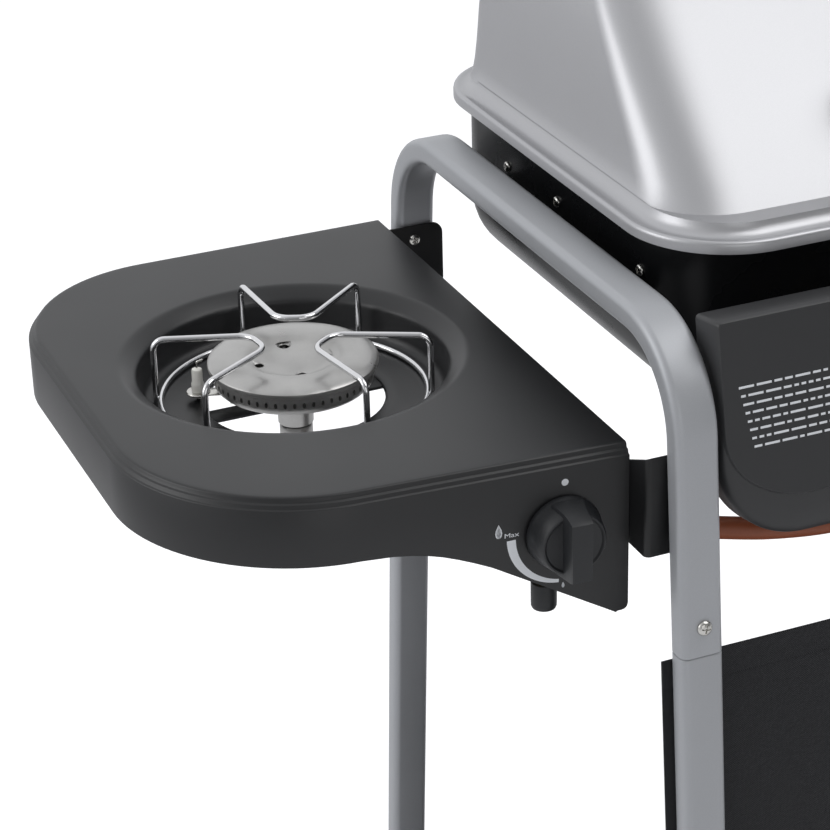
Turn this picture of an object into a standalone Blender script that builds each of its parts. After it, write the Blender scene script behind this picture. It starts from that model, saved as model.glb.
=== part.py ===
"""Gas barbecue grill on a bent-tube cart, with a round side burner on the left table.

Z is up, -Y is the front where the cook stands, and the floor is z = 0 under the
middle of the cart. Lengths are in metres, written as millimetres times MM.
"""
import math

import bmesh
import bpy
from mathutils import Matrix, Vector

MM = 0.001
GAP = 0.3 * MM              # clearance left between pieces that touch

# ---- driving dimensions -------------------------------------------------------
TUBE_W, TUBE_D = 30 * MM, 18 * MM       # flat tube: width along X, depth across the wide face
TUBE_CORNER = 5 * MM
SIDE_X = 300 * MM                       # side frames stand at X = -SIDE_X and +SIDE_X
HOOP_TOP = 862 * MM
HOOP_BEND = 66 * MM                     # centreline radius of the two top bends
LEG_Y = 219.3 * MM                      # leg centreline at table height
LEG_SPLAY = 0.086                       # run per rise of each leg
JOINT_Z = 650 * MM                      # hoop and lower leg meet here
SPIGOT = 45 * MM

TABLE_TOP = 782 * MM
TABLE_IN, TABLE_OUT = 327 * MM, 621 * MM
TABLE_REAR, TABLE_FRONT = 226 * MM, -188 * MM
TABLE_DEPTH = 46 * MM
TABLE_TAPER = math.radians(4.0)         # the front edge runs back towards the outer end
SHEET = 1.5 * MM

WELL_X, WELL_Y = -468 * MM, 28 * MM
WELL_RIM, WELL_WALL, WELL_HOLE = 115 * MM, 104 * MM, 61 * MM
WELL_FLOOR = TABLE_TOP - 31 * MM

FIREBOX_X = 268 * MM
FIREBOX_FRONT, FIREBOX_REAR = -140 * MM, 222 * MM
FIREBOX_TOP, FIREBOX_BOTTOM = 878 * MM, 758 * MM
HOOD_X, HOOD_FRONT, HOOD_REAR = 281 * MM, -161 * MM, 236 * MM
HOOD_BASE, HOOD_TOP = 880 * MM, 1052 * MM
HINGE_Y, HINGE_Z, HINGE_X = 248 * MM, 884 * MM, 180 * MM

PANEL_X = 283 * MM
PANEL_LEAN = math.radians(10)
PANEL_POINT = Vector((0, -224 * MM, 805 * MM))      # on the panel's face, at knob height
KNOB_X = 130 * MM

WHEEL_R, WHEEL_W = 75 * MM, 34 * MM
AXLE_R = 5 * MM

# ---- scene and materials ------------------------------------------------------
for old in list(bpy.data.objects):
    bpy.data.objects.remove(old, do_unlink=True)

PARTS = bpy.data.collections.new("gas_barbecue_grill")
bpy.context.scene.collection.children.link(PARTS)


def material(name, colour, roughness, metallic=0.0):
    made = bpy.data.materials.new(name)
    made.use_nodes = True
    shader = made.node_tree.nodes["Principled BSDF"]
    shader.inputs["Base Color"].default_value = (*colour, 1)
    shader.inputs["Roughness"].default_value = roughness
    shader.inputs["Metallic"].default_value = metallic
    made.diffuse_color = (*colour, 1)
    return made


SILVER = material("silver_painted_steel", (0.30, 0.31, 0.33), 0.45, 0.4)
GRAPHITE = material("graphite_painted_steel", (0.05, 0.052, 0.058), 0.45, 0.1)
BLACK_STEEL = material("black_painted_steel", (0.012, 0.012, 0.014), 0.4)
ENAMEL = material("black_enamelled_steel", (0.01, 0.01, 0.012), 0.25)
HOOD_METAL = material("silver_pressed_steel", (0.55, 0.55, 0.57), 0.35, 0.8)
ALUMINISED = material("aluminised_steel", (0.55, 0.54, 0.52), 0.35, 0.9)
CHROME = material("chromed_wire", (0.7, 0.7, 0.7), 0.12, 1.0)
ZINC = material("zinc_plated_steel", (0.5, 0.5, 0.48), 0.35, 0.9)
BRASS = material("brass", (0.5, 0.36, 0.14), 0.35, 1.0)
CERAMIC = material("white_ceramic", (0.8, 0.79, 0.75), 0.3)
PLASTIC = material("black_plastic", (0.012, 0.012, 0.015), 0.45)
TYRE = material("wheel_plastic", (0.02, 0.02, 0.022), 0.6)
RUBBER = material("orange_brown_rubber", (0.16, 0.05, 0.024), 0.55)
FABRIC = material("black_woven_fabric", (0.02, 0.02, 0.024), 0.9)


# ---- tools --------------------------------------------------------------------
def place(name, mesh, finish, smooth=35):
    """Link one closed mesh as a named part with outward faces."""
    bm = bmesh.new()
    bm.from_mesh(mesh)
    bmesh.ops.remove_doubles(bm, verts=bm.verts, dist=0.00001)
    bmesh.ops.recalc_face_normals(bm, faces=bm.faces)
    bm.to_mesh(mesh)
    bm.free()
    mesh.materials.clear()
    mesh.materials.append(finish)
    mesh.shade_smooth()
    mesh.set_sharp_from_angle(angle=math.radians(smooth))
    part = bpy.data.objects.new(name, mesh)
    PARTS.objects.link(part)
    return part


def baked(part):
    """The mesh that an object has with its modifiers and its placing applied."""
    bpy.context.view_layer.update()
    shown = part.evaluated_get(bpy.context.evaluated_depsgraph_get())
    mesh = bpy.data.meshes.new_from_object(shown)
    mesh.transform(part.matrix_world)
    bpy.data.objects.remove(part, do_unlink=True)
    return mesh


def box(name, low, high, finish, round_by=0.0):
    low, high = Vector(low), Vector(high)
    bm = bmesh.new()
    bmesh.ops.create_cube(bm, size=1)
    bmesh.ops.scale(bm, vec=high - low, verts=bm.verts)
    bmesh.ops.translate(bm, vec=(low + high) / 2, verts=bm.verts)
    if round_by:
        bmesh.ops.bevel(bm, geom=bm.edges[:], offset=round_by, segments=2, profile=0.5, affect="EDGES")
    mesh = bpy.data.meshes.new(name)
    bm.to_mesh(mesh)
    bm.free()
    return place(name, mesh, finish)


def aim(start, direction):
    """Matrix that takes local +Z to a direction from a start point."""
    turn = Vector(direction).normalized().to_track_quat("Z", "Y").to_matrix().to_4x4()
    return Matrix.Translation(Vector(start)) @ turn


def turned(name, profile, finish, start=(0, 0, 0), direction=(0, 0, 1), steps=24, closed=False):
    """Spin (radius, height) points about an axis from start along direction."""
    mesh = bpy.data.meshes.new(name)
    links = [(i, i + 1) for i in range(len(profile) - 1)]
    if closed:
        links.append((len(profile) - 1, 0))
    mesh.from_pydata([(radius, 0, height) for radius, height in profile], links, [])
    part = bpy.data.objects.new(name, mesh)
    PARTS.objects.link(part)
    spin = part.modifiers.new("spin", "SCREW")
    spin.steps = spin.render_steps = steps
    spin.use_merge_vertices = True
    spin.merge_threshold = 0.00001
    part.matrix_world = aim(start, direction)
    return place(name, baked(part), finish)


def rod(name, start, end, radius, finish, steps=20):
    start, end = Vector(start), Vector(end)
    length = (end - start).length
    return turned(name, [(0, length), (radius, length), (radius, 0), (0, 0)], finish,
                  start, end - start, steps)


def flat(name, outline, thickness, finish, frame=Matrix.Identity(4)):
    """A flat plate: an outline in local XY, thickened from z = 0 up, placed by a frame."""
    curve = bpy.data.curves.new(name, "CURVE")
    curve.dimensions = "2D"
    curve.fill_mode = "BOTH"
    curve.extrude = thickness / 2
    spline = curve.splines.new("POLY")
    spline.points.add(len(outline) - 1)
    for point, (x, y) in zip(spline.points, outline):
        point.co = (x, y, 0, 1)
    spline.use_cyclic_u = True
    part = bpy.data.objects.new(name, curve)
    PARTS.objects.link(part)
    part.matrix_world = frame @ Matrix.Translation((0, 0, thickness / 2))
    mesh = baked(part)
    bm = bmesh.new()
    bm.from_mesh(mesh)
    bmesh.ops.remove_doubles(bm, verts=bm.verts, dist=0.00001)
    bmesh.ops.dissolve_limit(bm, angle_limit=0.001, verts=bm.verts, edges=bm.edges)
    bm.to_mesh(mesh)
    bm.free()
    return place(name, mesh, finish)


def tube(name, points, radius, finish, sides=2):
    curve = bpy.data.curves.new(name, "CURVE")
    curve.dimensions = "3D"
    curve.bevel_depth = radius
    curve.bevel_resolution = sides
    curve.use_fill_caps = True
    spline = curve.splines.new("POLY")
    spline.points.add(len(points) - 1)
    for point, place_at in zip(spline.points, points):
        point.co = (*place_at, 1)
    part = bpy.data.objects.new(name, curve)
    PARTS.objects.link(part)
    return place(name, baked(part), finish, 50)


def join(part, other, operation="UNION"):
    """Union or cut a part with another, which is used up."""
    name, finish = part.name, part.data.materials[0]
    step = part.modifiers.new("join", "BOOLEAN")
    step.operation = operation
    step.object = other
    mesh = baked(part)
    bpy.data.objects.remove(other, do_unlink=True)
    return place(name, mesh, finish)


def cut(part, other):
    return join(part, other, "DIFFERENCE")


def soften(part, width, segments=2, angle=40):
    """Round the sharp edges of a part."""
    name, finish = part.name, part.data.materials[0]
    bevel = part.modifiers.new("round", "BEVEL")
    bevel.width = width
    bevel.segments = segments
    bevel.limit_method = "ANGLE"
    bevel.angle_limit = math.radians(angle)
    return place(name, baked(part), finish)


def arc(centre, radius, start, end, count):
    """Points on an arc, angles in degrees."""
    cx, cy = centre
    for i in range(count + 1):
        angle = math.radians(start + (end - start) * i / count)
        yield (cx + radius * math.cos(angle), cy + radius * math.sin(angle))


def filleted(corners, radii, count=6):
    """A closed outline with each corner rounded to its own radius."""
    points = []
    total = len(corners)
    for i in range(total):
        here = Vector(corners[i])
        back = (Vector(corners[i - 1]) - here).normalized()
        ahead = (Vector(corners[(i + 1) % total]) - here).normalized()
        half = back.angle(ahead) / 2
        reach = radii[i] / math.tan(half)
        centre = here + (back + ahead).normalized() * (radii[i] / math.sin(half))
        first, last = here + back * reach - centre, here + ahead * reach - centre
        sweep = first.angle_signed(last)
        for step in range(count + 1):
            points.append(tuple(centre + Matrix.Rotation(-sweep * step / count, 2) @ first))
    return points


def inset_corners(corners, insets):
    """Move each side of a counter-clockwise outline inwards by its own amount."""
    total = len(corners)
    sides = []
    for i in range(total):
        a, b = Vector(corners[i]), Vector(corners[(i + 1) % total])
        along = (b - a).normalized()
        inward = Vector((-along.y, along.x))
        sides.append((a + inward * insets[i], along))
    moved = []
    for i in range(total):
        (p, u), (q, v) = sides[i - 1], sides[i]
        reach = (q - p).cross(v) / u.cross(v)
        moved.append(tuple(p + u * reach))
    return moved


def loft(name, rings, finish, smooth=35):
    """A closed solid through rings of equally many points, capped at both ends."""
    bm = bmesh.new()
    rows = [[bm.verts.new(point) for point in ring] for ring in rings]
    total = len(rings[0])
    for low, high in zip(rows, rows[1:]):
        for i in range(total):
            bm.faces.new((low[i], low[(i + 1) % total], high[(i + 1) % total], high[i]))
    bm.faces.new(rows[0])
    bm.faces.new(rows[-1])
    mesh = bpy.data.meshes.new(name)
    bm.to_mesh(mesh)
    bm.free()
    return place(name, mesh, finish, smooth)


def rectangle(half_x, front, rear, radius, height, count=6):
    corners = [(half_x, front), (half_x, rear), (-half_x, rear), (-half_x, front)]
    return [(x, y, height) for x, y in filleted(corners, [radius] * 4, count)]


def smooth_route(route, per_span):
    """Points of a smooth curve (Catmull-Rom) through the route's own points."""
    ends = [2 * Vector(route[0]) - Vector(route[1])] + [Vector(p) for p in route]
    ends.append(2 * Vector(route[-1]) - Vector(route[-2]))
    points = []
    for a, b, c, d in zip(ends, ends[1:], ends[2:], ends[3:]):
        for step in range(per_span):
            t = step / per_span
            points.append(0.5 * (2 * b + (c - a) * t + (2 * a - 5 * b + 4 * c - d) * t ** 2
                                 + (3 * b - 3 * c + d - a) * t ** 3))
    points.append(ends[-2])
    return points


def bent_route(route, radius, count):
    """The route's points, with each inner corner bent round to a radius."""
    points = [Vector(route[0])]
    for a, b, c in zip(route, route[1:], route[2:]):
        here = Vector(b)
        back, ahead = (Vector(a) - here).normalized(), (Vector(c) - here).normalized()
        half = back.angle(ahead) / 2
        centre = here + (back + ahead).normalized() * (radius / math.sin(half))
        first = (here + back * (radius / math.tan(half)) - centre).normalized()
        last = (here + ahead * (radius / math.tan(half)) - centre).normalized()
        for step in range(count + 1):
            points.append(centre + first.slerp(last, step / count) * radius)
    return points + [Vector(route[-1])]


def leg_y(z):
    """Distance of a leg's centreline from the cart's middle, at a height."""
    return LEG_Y + LEG_SPLAY * (TABLE_TOP - z)


# Local X, Y, Z of a plate standing in the YZ plane become world Y, Z, X.
SIDEWAYS = Matrix(((0, 0, 1, 0), (1, 0, 0, 0), (0, 1, 0, 0), (0, 0, 0, 1)))


# ---- cart: two bent hoops, four lower legs, feet, wheels, shelf ----------------
def hoop_line(offset):
    """Half of the hoop's outline at a distance from its centreline, leg end first."""
    corner = leg_y(HOOP_TOP - TUBE_D / 2)
    lean = math.atan(LEG_SPLAY)
    turn = math.pi / 2 - lean
    reach = HOOP_BEND * math.tan(turn / 2)
    centre = (corner - reach, HOOP_TOP - TUBE_D / 2 - HOOP_BEND)
    foot = (leg_y(JOINT_Z) + offset / math.cos(lean), JOINT_Z + GAP)
    return [foot] + list(arc(centre, HOOP_BEND + offset, math.degrees(lean), 90, 8))


def side_frame(side, x):
    outer, inner = hoop_line(TUBE_D / 2), hoop_line(-TUBE_D / 2)
    mirrored = lambda line: [(-y, z) for y, z in reversed(line)]
    outline = outer + mirrored(outer) + list(reversed(mirrored(inner))) + list(reversed(inner))
    frame = Matrix.Translation((x - TUBE_W / 2, 0, 0)) @ SIDEWAYS
    hoop = soften(flat("frame_hoop_" + side, outline, TUBE_W, SILVER, frame), TUBE_CORNER)
    for end, sign in (("front", -1), ("rear", 1)):
        hoop = cut(hoop, leg_piece("socket", x, sign, JOINT_Z - MM, JOINT_Z + SPIGOT + MM, 2 * MM))
        foot = 18 * MM if side == "left" else 58 * MM
        leg = leg_piece("leg_%s_%s" % (end, side), x, sign, foot, JOINT_Z - GAP, 0)
        leg = soften(leg, TUBE_CORNER, 2)
        leg = join(leg, leg_piece("spigot", x, sign, JOINT_Z - 5 * MM, JOINT_Z + SPIGOT, 2.3 * MM))
        if side == "right":
            hole = rod("hole", (x, sign * 0.2, WHEEL_R), (x, sign * 0.4, WHEEL_R), AXLE_R + GAP, ZINC)
            leg = cut(leg, hole)
        else:
            cap = leg_piece("foot_cap_%s_left" % end, x, sign, 0, 45 * MM, -3 * MM)
            cap.data.materials[0] = PLASTIC
            cap = soften(cap, 3 * MM, 2)
            cut(cap, leg_piece("inside", x, sign, foot - GAP, 50 * MM, -GAP))


def leg_piece(name, x, sign, low, high, shrink):
    """A slanted length of flat tube between two heights, each side moved in by shrink."""
    half_w, half_d = TUBE_W / 2 - shrink, TUBE_D / 2 - shrink
    outline = []
    for z, side in ((low, -1), (low, 1), (high, 1), (high, -1)):
        outline.append((sign * (leg_y(z) + side * half_d), z))
    frame = Matrix.Translation((x - half_w, 0, 0)) @ SIDEWAYS
    return flat(name, outline, 2 * half_w, SILVER, frame)


side_frame("left", -SIDE_X)
side_frame("right", SIDE_X)

for end, sign in (("front", -1), ("rear", 1)):
    hub = leg_y(WHEEL_R) + TUBE_D / 2 + 4 * MM          # inner face of the wheel's hub
    tread, rim, web = WHEEL_R, 60 * MM, 7 * MM
    middle = WHEEL_W / 2
    bore = AXLE_R + GAP
    profile = [(bore, 0), (16 * MM, 0), (18 * MM, middle - web / 2), (rim, middle - web / 2),
               (rim, 2 * MM), (tread - 4 * MM, 2 * MM), (tread, 8 * MM), (tread, WHEEL_W - 8 * MM),
               (tread - 4 * MM, WHEEL_W - 2 * MM), (rim, WHEEL_W - 2 * MM), (rim, middle + web / 2),
               (18 * MM, middle + web / 2), (16 * MM, WHEEL_W), (bore, WHEEL_W)]
    wheel = turned("wheel_" + end, profile, TYRE, (SIDE_X, sign * hub, WHEEL_R), (0, sign, 0),
                   24, closed=True)
    for i in range(6):
        angle = math.radians(60 * i)
        at = Vector((SIDE_X + 39 * MM * math.cos(angle), sign * hub, WHEEL_R + 39 * MM * math.sin(angle)))
        wheel = cut(wheel, rod("window", at, at + Vector((0, sign * WHEEL_W, 0)), 12 * MM, TYRE, 10))
    face = hub + WHEEL_W + GAP
    turned("hub_cap_" + end, [(0, 9 * MM), (10 * MM, 8 * MM), (16 * MM, 4 * MM), (17 * MM, 0), (8 * MM, 0),
                              (8 * MM, 4 * MM), (0, 4 * MM)], PLASTIC,
           (SIDE_X, sign * face, WHEEL_R), (0, sign, 0))
reach = leg_y(WHEEL_R) + TUBE_D / 2 + 4 * MM + WHEEL_W + 3 * MM
rod("axle", (SIDE_X, -reach, WHEEL_R), (SIDE_X, reach, WHEEL_R), AXLE_R, ZINC)

BAR_LOW, BAR_HIGH = 50 * MM, 75 * MM
for end, sign in (("front", -1), ("rear", 1)):
    middle = sign * leg_y(BAR_HIGH)
    box("crossbar_lower_" + end, (-SIDE_X + TUBE_W / 2 + GAP, middle - 8 * MM, BAR_LOW),
        (SIDE_X - TUBE_W / 2 - GAP, middle + 8 * MM, BAR_HIGH), SILVER, 3 * MM)

half_x, half_y = SIDE_X - TUBE_W / 2 - MM, leg_y(BAR_HIGH) + 7 * MM
shelf_z = BAR_HIGH + GAP
outer = [rectangle(half_x, -half_y, half_y, 12 * MM, shelf_z, 3),
         rectangle(half_x, -half_y, half_y, 12 * MM, shelf_z + 16 * MM, 3)]
inner = [rectangle(half_x - 2 * MM, -half_y + 2 * MM, half_y - 2 * MM, 10 * MM, shelf_z + 2 * MM, 3),
         rectangle(half_x - 2 * MM, -half_y + 2 * MM, half_y - 2 * MM, 10 * MM, shelf_z + 20 * MM, 3)]
cut(loft("bottom_shelf", outer, GRAPHITE), loft("inside", inner, GRAPHITE))

# Cloth apron behind the front legs, from just under the tube joints to above the shelf.
APRON_TOP, APRON_LOW, APRON_X, CLOTH = 641 * MM, 150 * MM, 320 * MM, 2 * MM
outline = []
for z, back in ((APRON_LOW, 0), (APRON_LOW, CLOTH), (APRON_TOP, CLOTH), (APRON_TOP, 0)):
    outline.append((-(leg_y(z) - TUBE_D / 2 - 0.6 * MM) + back, z))
flat("front_apron", outline, 2 * APRON_X, FABRIC, Matrix.Translation((-APRON_X, 0, 0)) @ SIDEWAYS)


# ---- firebox, hood and hinges -------------------------------------------------
def tub(wall, low, high):
    """A tub with round corners and a round bottom edge, moved in by a wall thickness."""
    rings = []
    edge = 50 * MM - wall
    for i in range(6):
        angle = math.radians(90 * i / 5)
        inset = wall + edge * (1 - math.sin(angle))
        rings.append(rectangle(FIREBOX_X - inset, FIREBOX_FRONT + inset, FIREBOX_REAR - inset,
                               max(55 * MM - inset, 8 * MM), low + edge * (1 - math.cos(angle)), 5))
    rings.append(rectangle(FIREBOX_X - wall, FIREBOX_FRONT + wall, FIREBOX_REAR - wall,
                           55 * MM - wall, high, 5))
    return rings


WALL = 2.5 * MM
rings = tub(0, FIREBOX_BOTTOM, FIREBOX_TOP - 3 * MM)
lip = 7 * MM
for z in (FIREBOX_TOP - 3 * MM, FIREBOX_TOP):
    rings.append(rectangle(FIREBOX_X + lip, FIREBOX_FRONT - lip, FIREBOX_REAR + lip, 62 * MM, z, 5))
firebox = loft("firebox", rings, ENAMEL)
firebox = cut(firebox, loft("inside", tub(WALL, FIREBOX_BOTTOM + WALL, FIREBOX_TOP + MM), ENAMEL))
firebox = cut(firebox, rod("drain", (0, 40 * MM, 0.74), (0, 40 * MM, 0.78), 18 * MM, ENAMEL))
BURNER_Z, BURNER_R = 800 * MM, 12 * MM
for x in (-KNOB_X, KNOB_X):
    port = rod("port", (x, FIREBOX_FRONT - 20 * MM, BURNER_Z), (x, FIREBOX_FRONT + 30 * MM, BURNER_Z),
               BURNER_R + GAP, ENAMEL)
    firebox = cut(firebox, port)

for side, sign in (("left", -1), ("right", 1)):
    near, far = sorted((sign * (FIREBOX_X + GAP), sign * (SIDE_X - TUBE_W / 2 - GAP)))
    box("firebox_rail_" + side, (near, -100 * MM, 836 * MM), (far, 130 * MM, 856 * MM), BLACK_STEEL, 2 * MM)


def hood_front(z):
    """Y of the hood's front at a height: upright low down, then sloping back."""
    rise = (z - HOOD_BASE) / (HOOD_TOP - HOOD_BASE)
    return -138 * MM + 205 * MM * rise ** 1.08


def hood_rings(wall, top):
    rings = []
    floor = HOOD_BASE + 10 * MM
    for z, side in ((floor, 263), (905 * MM, 259), (940 * MM, 254), (975 * MM, 249), (1005 * MM, 243),
                    (1030 * MM, 233), (1044 * MM, 218)):
        back = 226 * MM - max(0, z - 1000 * MM) * 0.45
        height = min(z, top)
        rings.append(rectangle(side * MM - wall, hood_front(z) + wall, back - wall, 48 * MM - wall,
                               height, 5))
    rings.append(rectangle(198 * MM - wall, hood_front(HOOD_TOP) + wall, 178 * MM - wall, 40 * MM - wall,
                           top, 5))
    return rings


outer = [rectangle(HOOD_X, HOOD_FRONT, HOOD_REAR, 70 * MM, z, 5) for z in (HOOD_BASE, HOOD_BASE + 10 * MM)]
hood = loft("hood", outer + hood_rings(0, HOOD_TOP), HOOD_METAL)
inner = [rectangle(HOOD_X - 2 * MM, HOOD_FRONT + 2 * MM, HOOD_REAR - 2 * MM, 68 * MM, z, 5)
         for z in (HOOD_BASE - MM, HOOD_BASE + 8 * MM)]
hollow = []
for ring in hood_rings(2 * MM, HOOD_TOP):
    hollow.append([(x, y, z - 2 * MM) for x, y, z in ring])
hood = cut(hood, loft("inside", inner + hollow, HOOD_METAL))

# A bow handle stands on two feet square to the sloping front.
slope = Vector((0, hood_front(0.95) - hood_front(0.93), 0.02)).normalized()
outward = Vector((0, -slope.z, slope.y))
foot = Vector((0, hood_front(0.942), 0.942)) + outward * GAP
bow = []
for sign in (-1, 1):
    end = foot + Vector((sign * 98 * MM, 0, 0))
    side = [end, end + outward * 25 * MM]
    for angle in (30, 60, 90):
        turn = math.radians(angle)
        side.append(foot + Vector((sign * (98 - 20 * (1 - math.cos(turn))) * MM, 0, 0))
                    + outward * (25 + 20 * math.sin(turn)) * MM)
    bow.append(side)
handle = tube("hood_handle", bow[0] + list(reversed(bow[1])), 9 * MM, PLASTIC, 3)

PIN_R = 2.5 * MM
for side, sign in (("left", -1), ("right", 1)):
    x = sign * HINGE_X
    eye = list(arc((HINGE_Y, HINGE_Z), 8 * MM, -60, 160, 10))
    arm = [(FIREBOX_REAR + GAP, 826 * MM), (FIREBOX_REAR + 12 * MM, 826 * MM)] + eye
    arm += [(HINGE_Y - 10.5 * MM, 874 * MM), (FIREBOX_REAR + GAP, 870 * MM)]
    bracket = flat("hinge_bracket_" + side, arm, 3 * MM, BLACK_STEEL,
                   Matrix.Translation((x - 3.5 * MM, 0, 0)) @ SIDEWAYS)
    bracket = join(bracket, box("foot", (x - 16 * MM, FIREBOX_REAR + GAP, 828 * MM),
                                (x + 12 * MM, FIREBOX_REAR + 3 * MM, 868 * MM), BLACK_STEEL))
    cut(bracket, rod("bore", (x - 0.02, HINGE_Y, HINGE_Z), (x + 0.02, HINGE_Y, HINGE_Z), PIN_R + GAP, ZINC))
    eye = list(arc((HINGE_Y, HINGE_Z), 8 * MM, -150, 60, 10))
    leaf = [(226.5 * MM, 894 * MM), (237 * MM, 892 * MM)] + eye
    leaf += [(232 * MM, 930 * MM), (226.5 * MM, 930 * MM)]
    leaf = flat("hinge_leaf_" + side, leaf, 3 * MM, BLACK_STEEL,
                Matrix.Translation((x + 0.5 * MM, 0, 0)) @ SIDEWAYS)
    leaf = join(leaf, box("foot", (x - 12 * MM, 226.5 * MM, 896 * MM), (x + 16 * MM, 229.2 * MM, 928 * MM),
                          BLACK_STEEL))
    cut(leaf, rod("bore", (x - 0.02, HINGE_Y, HINGE_Z), (x + 0.02, HINGE_Y, HINGE_Z), PIN_R + GAP, ZINC))
    pin = [(0, 14 * MM), (PIN_R, 14 * MM), (PIN_R, 2 * MM), (4.5 * MM, 2 * MM), (4.5 * MM, 0), (0, 0)]
    turned("hinge_pin_" + side, pin, ZINC, (x - 6.5 * MM, HINGE_Y, HINGE_Z), (1, 0, 0), 16)


# ---- inside the firebox -------------------------------------------------------
def grating(name, half_x, front, rear, low, high, bars, finish):
    """A flat grate: a rim with long slots between bars that run front to back."""
    outline = [(x, y) for x, y, _ in rectangle(half_x, front, rear, 46 * MM, 0)]
    plate = flat(name, outline, high - low, finish, Matrix.Translation((0, 0, low)))
    edge = 15 * MM
    pitch = 2 * (half_x - edge) / bars
    bm = bmesh.new()
    for i in range(bars):
        centre = -half_x + edge + pitch * (i + 0.5)
        size = Vector((pitch * 0.62, rear - front - 2 * edge, high - low + 2 * MM))
        made = bmesh.ops.create_cube(bm, size=1)["verts"]
        bmesh.ops.scale(bm, vec=size, verts=made)
        bmesh.ops.translate(bm, vec=(centre, (front + rear) / 2, (low + high) / 2), verts=made)
    mesh = bpy.data.meshes.new("slots")
    bm.to_mesh(mesh)
    bm.free()
    return cut(plate, place("slots", mesh, finish))


grating("cooking_grate", 258 * MM, -128 * MM, 210 * MM, 862 * MM, 867 * MM, 20, CHROME)
grating("lava_grate", 245 * MM, -118 * MM, 200 * MM, 826 * MM, 829 * MM, 8, ZINC)
for side, x in (("left", -KNOB_X), ("right", KNOB_X)):
    burner = [(0, 350 * MM), (BURNER_R, 350 * MM), (BURNER_R, 0), (BURNER_R - 2 * MM, 0),
              (BURNER_R - 2 * MM, 347 * MM), (0, 347 * MM)]
    turned("burner_tube_" + side, burner, ALUMINISED, (x, -158 * MM, BURNER_Z), (0, 1, 0))

# ---- gas train and control panel ----------------------------------------------
NORMAL = Vector((0, -math.cos(PANEL_LEAN), math.sin(PANEL_LEAN)))
UP = Vector((0, math.sin(PANEL_LEAN), math.cos(PANEL_LEAN)))


def on_panel(x, out, up=0.0):
    return Vector((x, 0, 0)) + PANEL_POINT + NORMAL * out + UP * up


def knob(name, at, direction, up, radius):
    """A round knob with a tapered side and a raised grip bar, standing on a face."""
    body = turned(name, [(0, 17 * MM), (radius * 0.80, 17 * MM), (radius * 0.88, 15 * MM), (radius, 2 * MM),
                         (radius, 0), (8 * MM, 0), (8 * MM, 2 * MM), (0, 2 * MM)], PLASTIC, at, direction, 24)
    across = Vector(up).cross(Vector(direction)).normalized()
    turn = Matrix((across, Vector(up), Vector(direction))).transposed().to_4x4()
    grip = box("grip", (-6 * MM, -radius * 0.93, 6 * MM), (6 * MM, radius * 0.93, 27 * MM), PLASTIC, 2 * MM)
    grip.matrix_world = Matrix.Translation(Vector(at)) @ turn
    bpy.context.view_layer.update()
    return join(body, place("grip", baked(grip), PLASTIC))


PANEL_LOW, PANEL_HIGH, PANEL_DEPTH = -88 * MM, 62 * MM, 26 * MM
frame = Matrix((Vector((1, 0, 0)), UP, NORMAL)).transposed().to_4x4()
frame.translation = PANEL_POINT


def panel_ring(inset, out):
    half = PANEL_X - inset
    corners = [(half, PANEL_LOW + inset), (half, PANEL_HIGH - inset * 0.2), (-half, PANEL_HIGH - inset * 0.2),
               (-half, PANEL_LOW + inset)]
    outline = filleted(corners, [60 * MM - inset, 3 * MM, 3 * MM, 60 * MM - inset], 6)
    return [frame @ Vector((x, y, out)) for x, y in outline]


bow = [(14 * MM * (1 - math.sin(a)), -14 * MM * (1 - math.cos(a))) for a in
       (math.radians(15 * i) for i in range(7))]
steps = [(0, -PANEL_DEPTH)] + [(inset, out) for inset, out in reversed(bow)]
panel = loft("control_panel", [panel_ring(inset, out) for inset, out in steps], GRAPHITE)
inner = [(SHEET, -PANEL_DEPTH - MM)] + [(inset + SHEET, out - SHEET) for inset, out in reversed(bow)]
panel = cut(panel, loft("inside", [panel_ring(inset, out) for inset, out in inner], GRAPHITE))
for x, radius in ((-KNOB_X, 6 * MM), (KNOB_X, 6 * MM), (0, 10.5 * MM)):
    panel = cut(panel, rod("hole", on_panel(x, -5 * MM), on_panel(x, 5 * MM), radius, GRAPHITE))

for side, x in (("left", -KNOB_X), ("right", KNOB_X)):
    valve = rod("valve_" + side, on_panel(x, -46 * MM), on_panel(x, -24 * MM), 12 * MM, BRASS)
    join(valve, rod("jet", on_panel(x, -40 * MM), (x, -158.5 * MM, BURNER_Z), 5 * MM, BRASS, 12))
    rod("valve_stem_" + side, on_panel(x, -22 * MM), on_panel(x, 1.6 * MM), 4 * MM, BRASS, 12)
    knob("knob_" + side, on_panel(x, 2.2 * MM), NORMAL, UP, 24 * MM)
rod("igniter_button", on_panel(0, -9 * MM), on_panel(0, 9 * MM), 10 * MM, PLASTIC)

MANIFOLD_Y, MANIFOLD_Z, MANIFOLD_R = -190 * MM, 777 * MM, 8 * MM
manifold = rod("manifold", (-200 * MM, MANIFOLD_Y, MANIFOLD_Z), (200 * MM, MANIFOLD_Y, MANIFOLD_Z),
               MANIFOLD_R, ZINC)
HOSE_END = Vector((-60 * MM, MANIFOLD_Y, 712 * MM))
drop = Vector((HOSE_END.x, MANIFOLD_Y, MANIFOLD_Z))
manifold = join(manifold, rod("drop", drop, (HOSE_END.x, MANIFOLD_Y, 704 * MM), 6 * MM, ZINC))
manifold = join(manifold, rod("elbow", (HOSE_END.x + 6 * MM, MANIFOLD_Y, 704 * MM),
                              (HOSE_END.x - 16 * MM, MANIFOLD_Y, 701 * MM), 8.5 * MM, BRASS))

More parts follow.
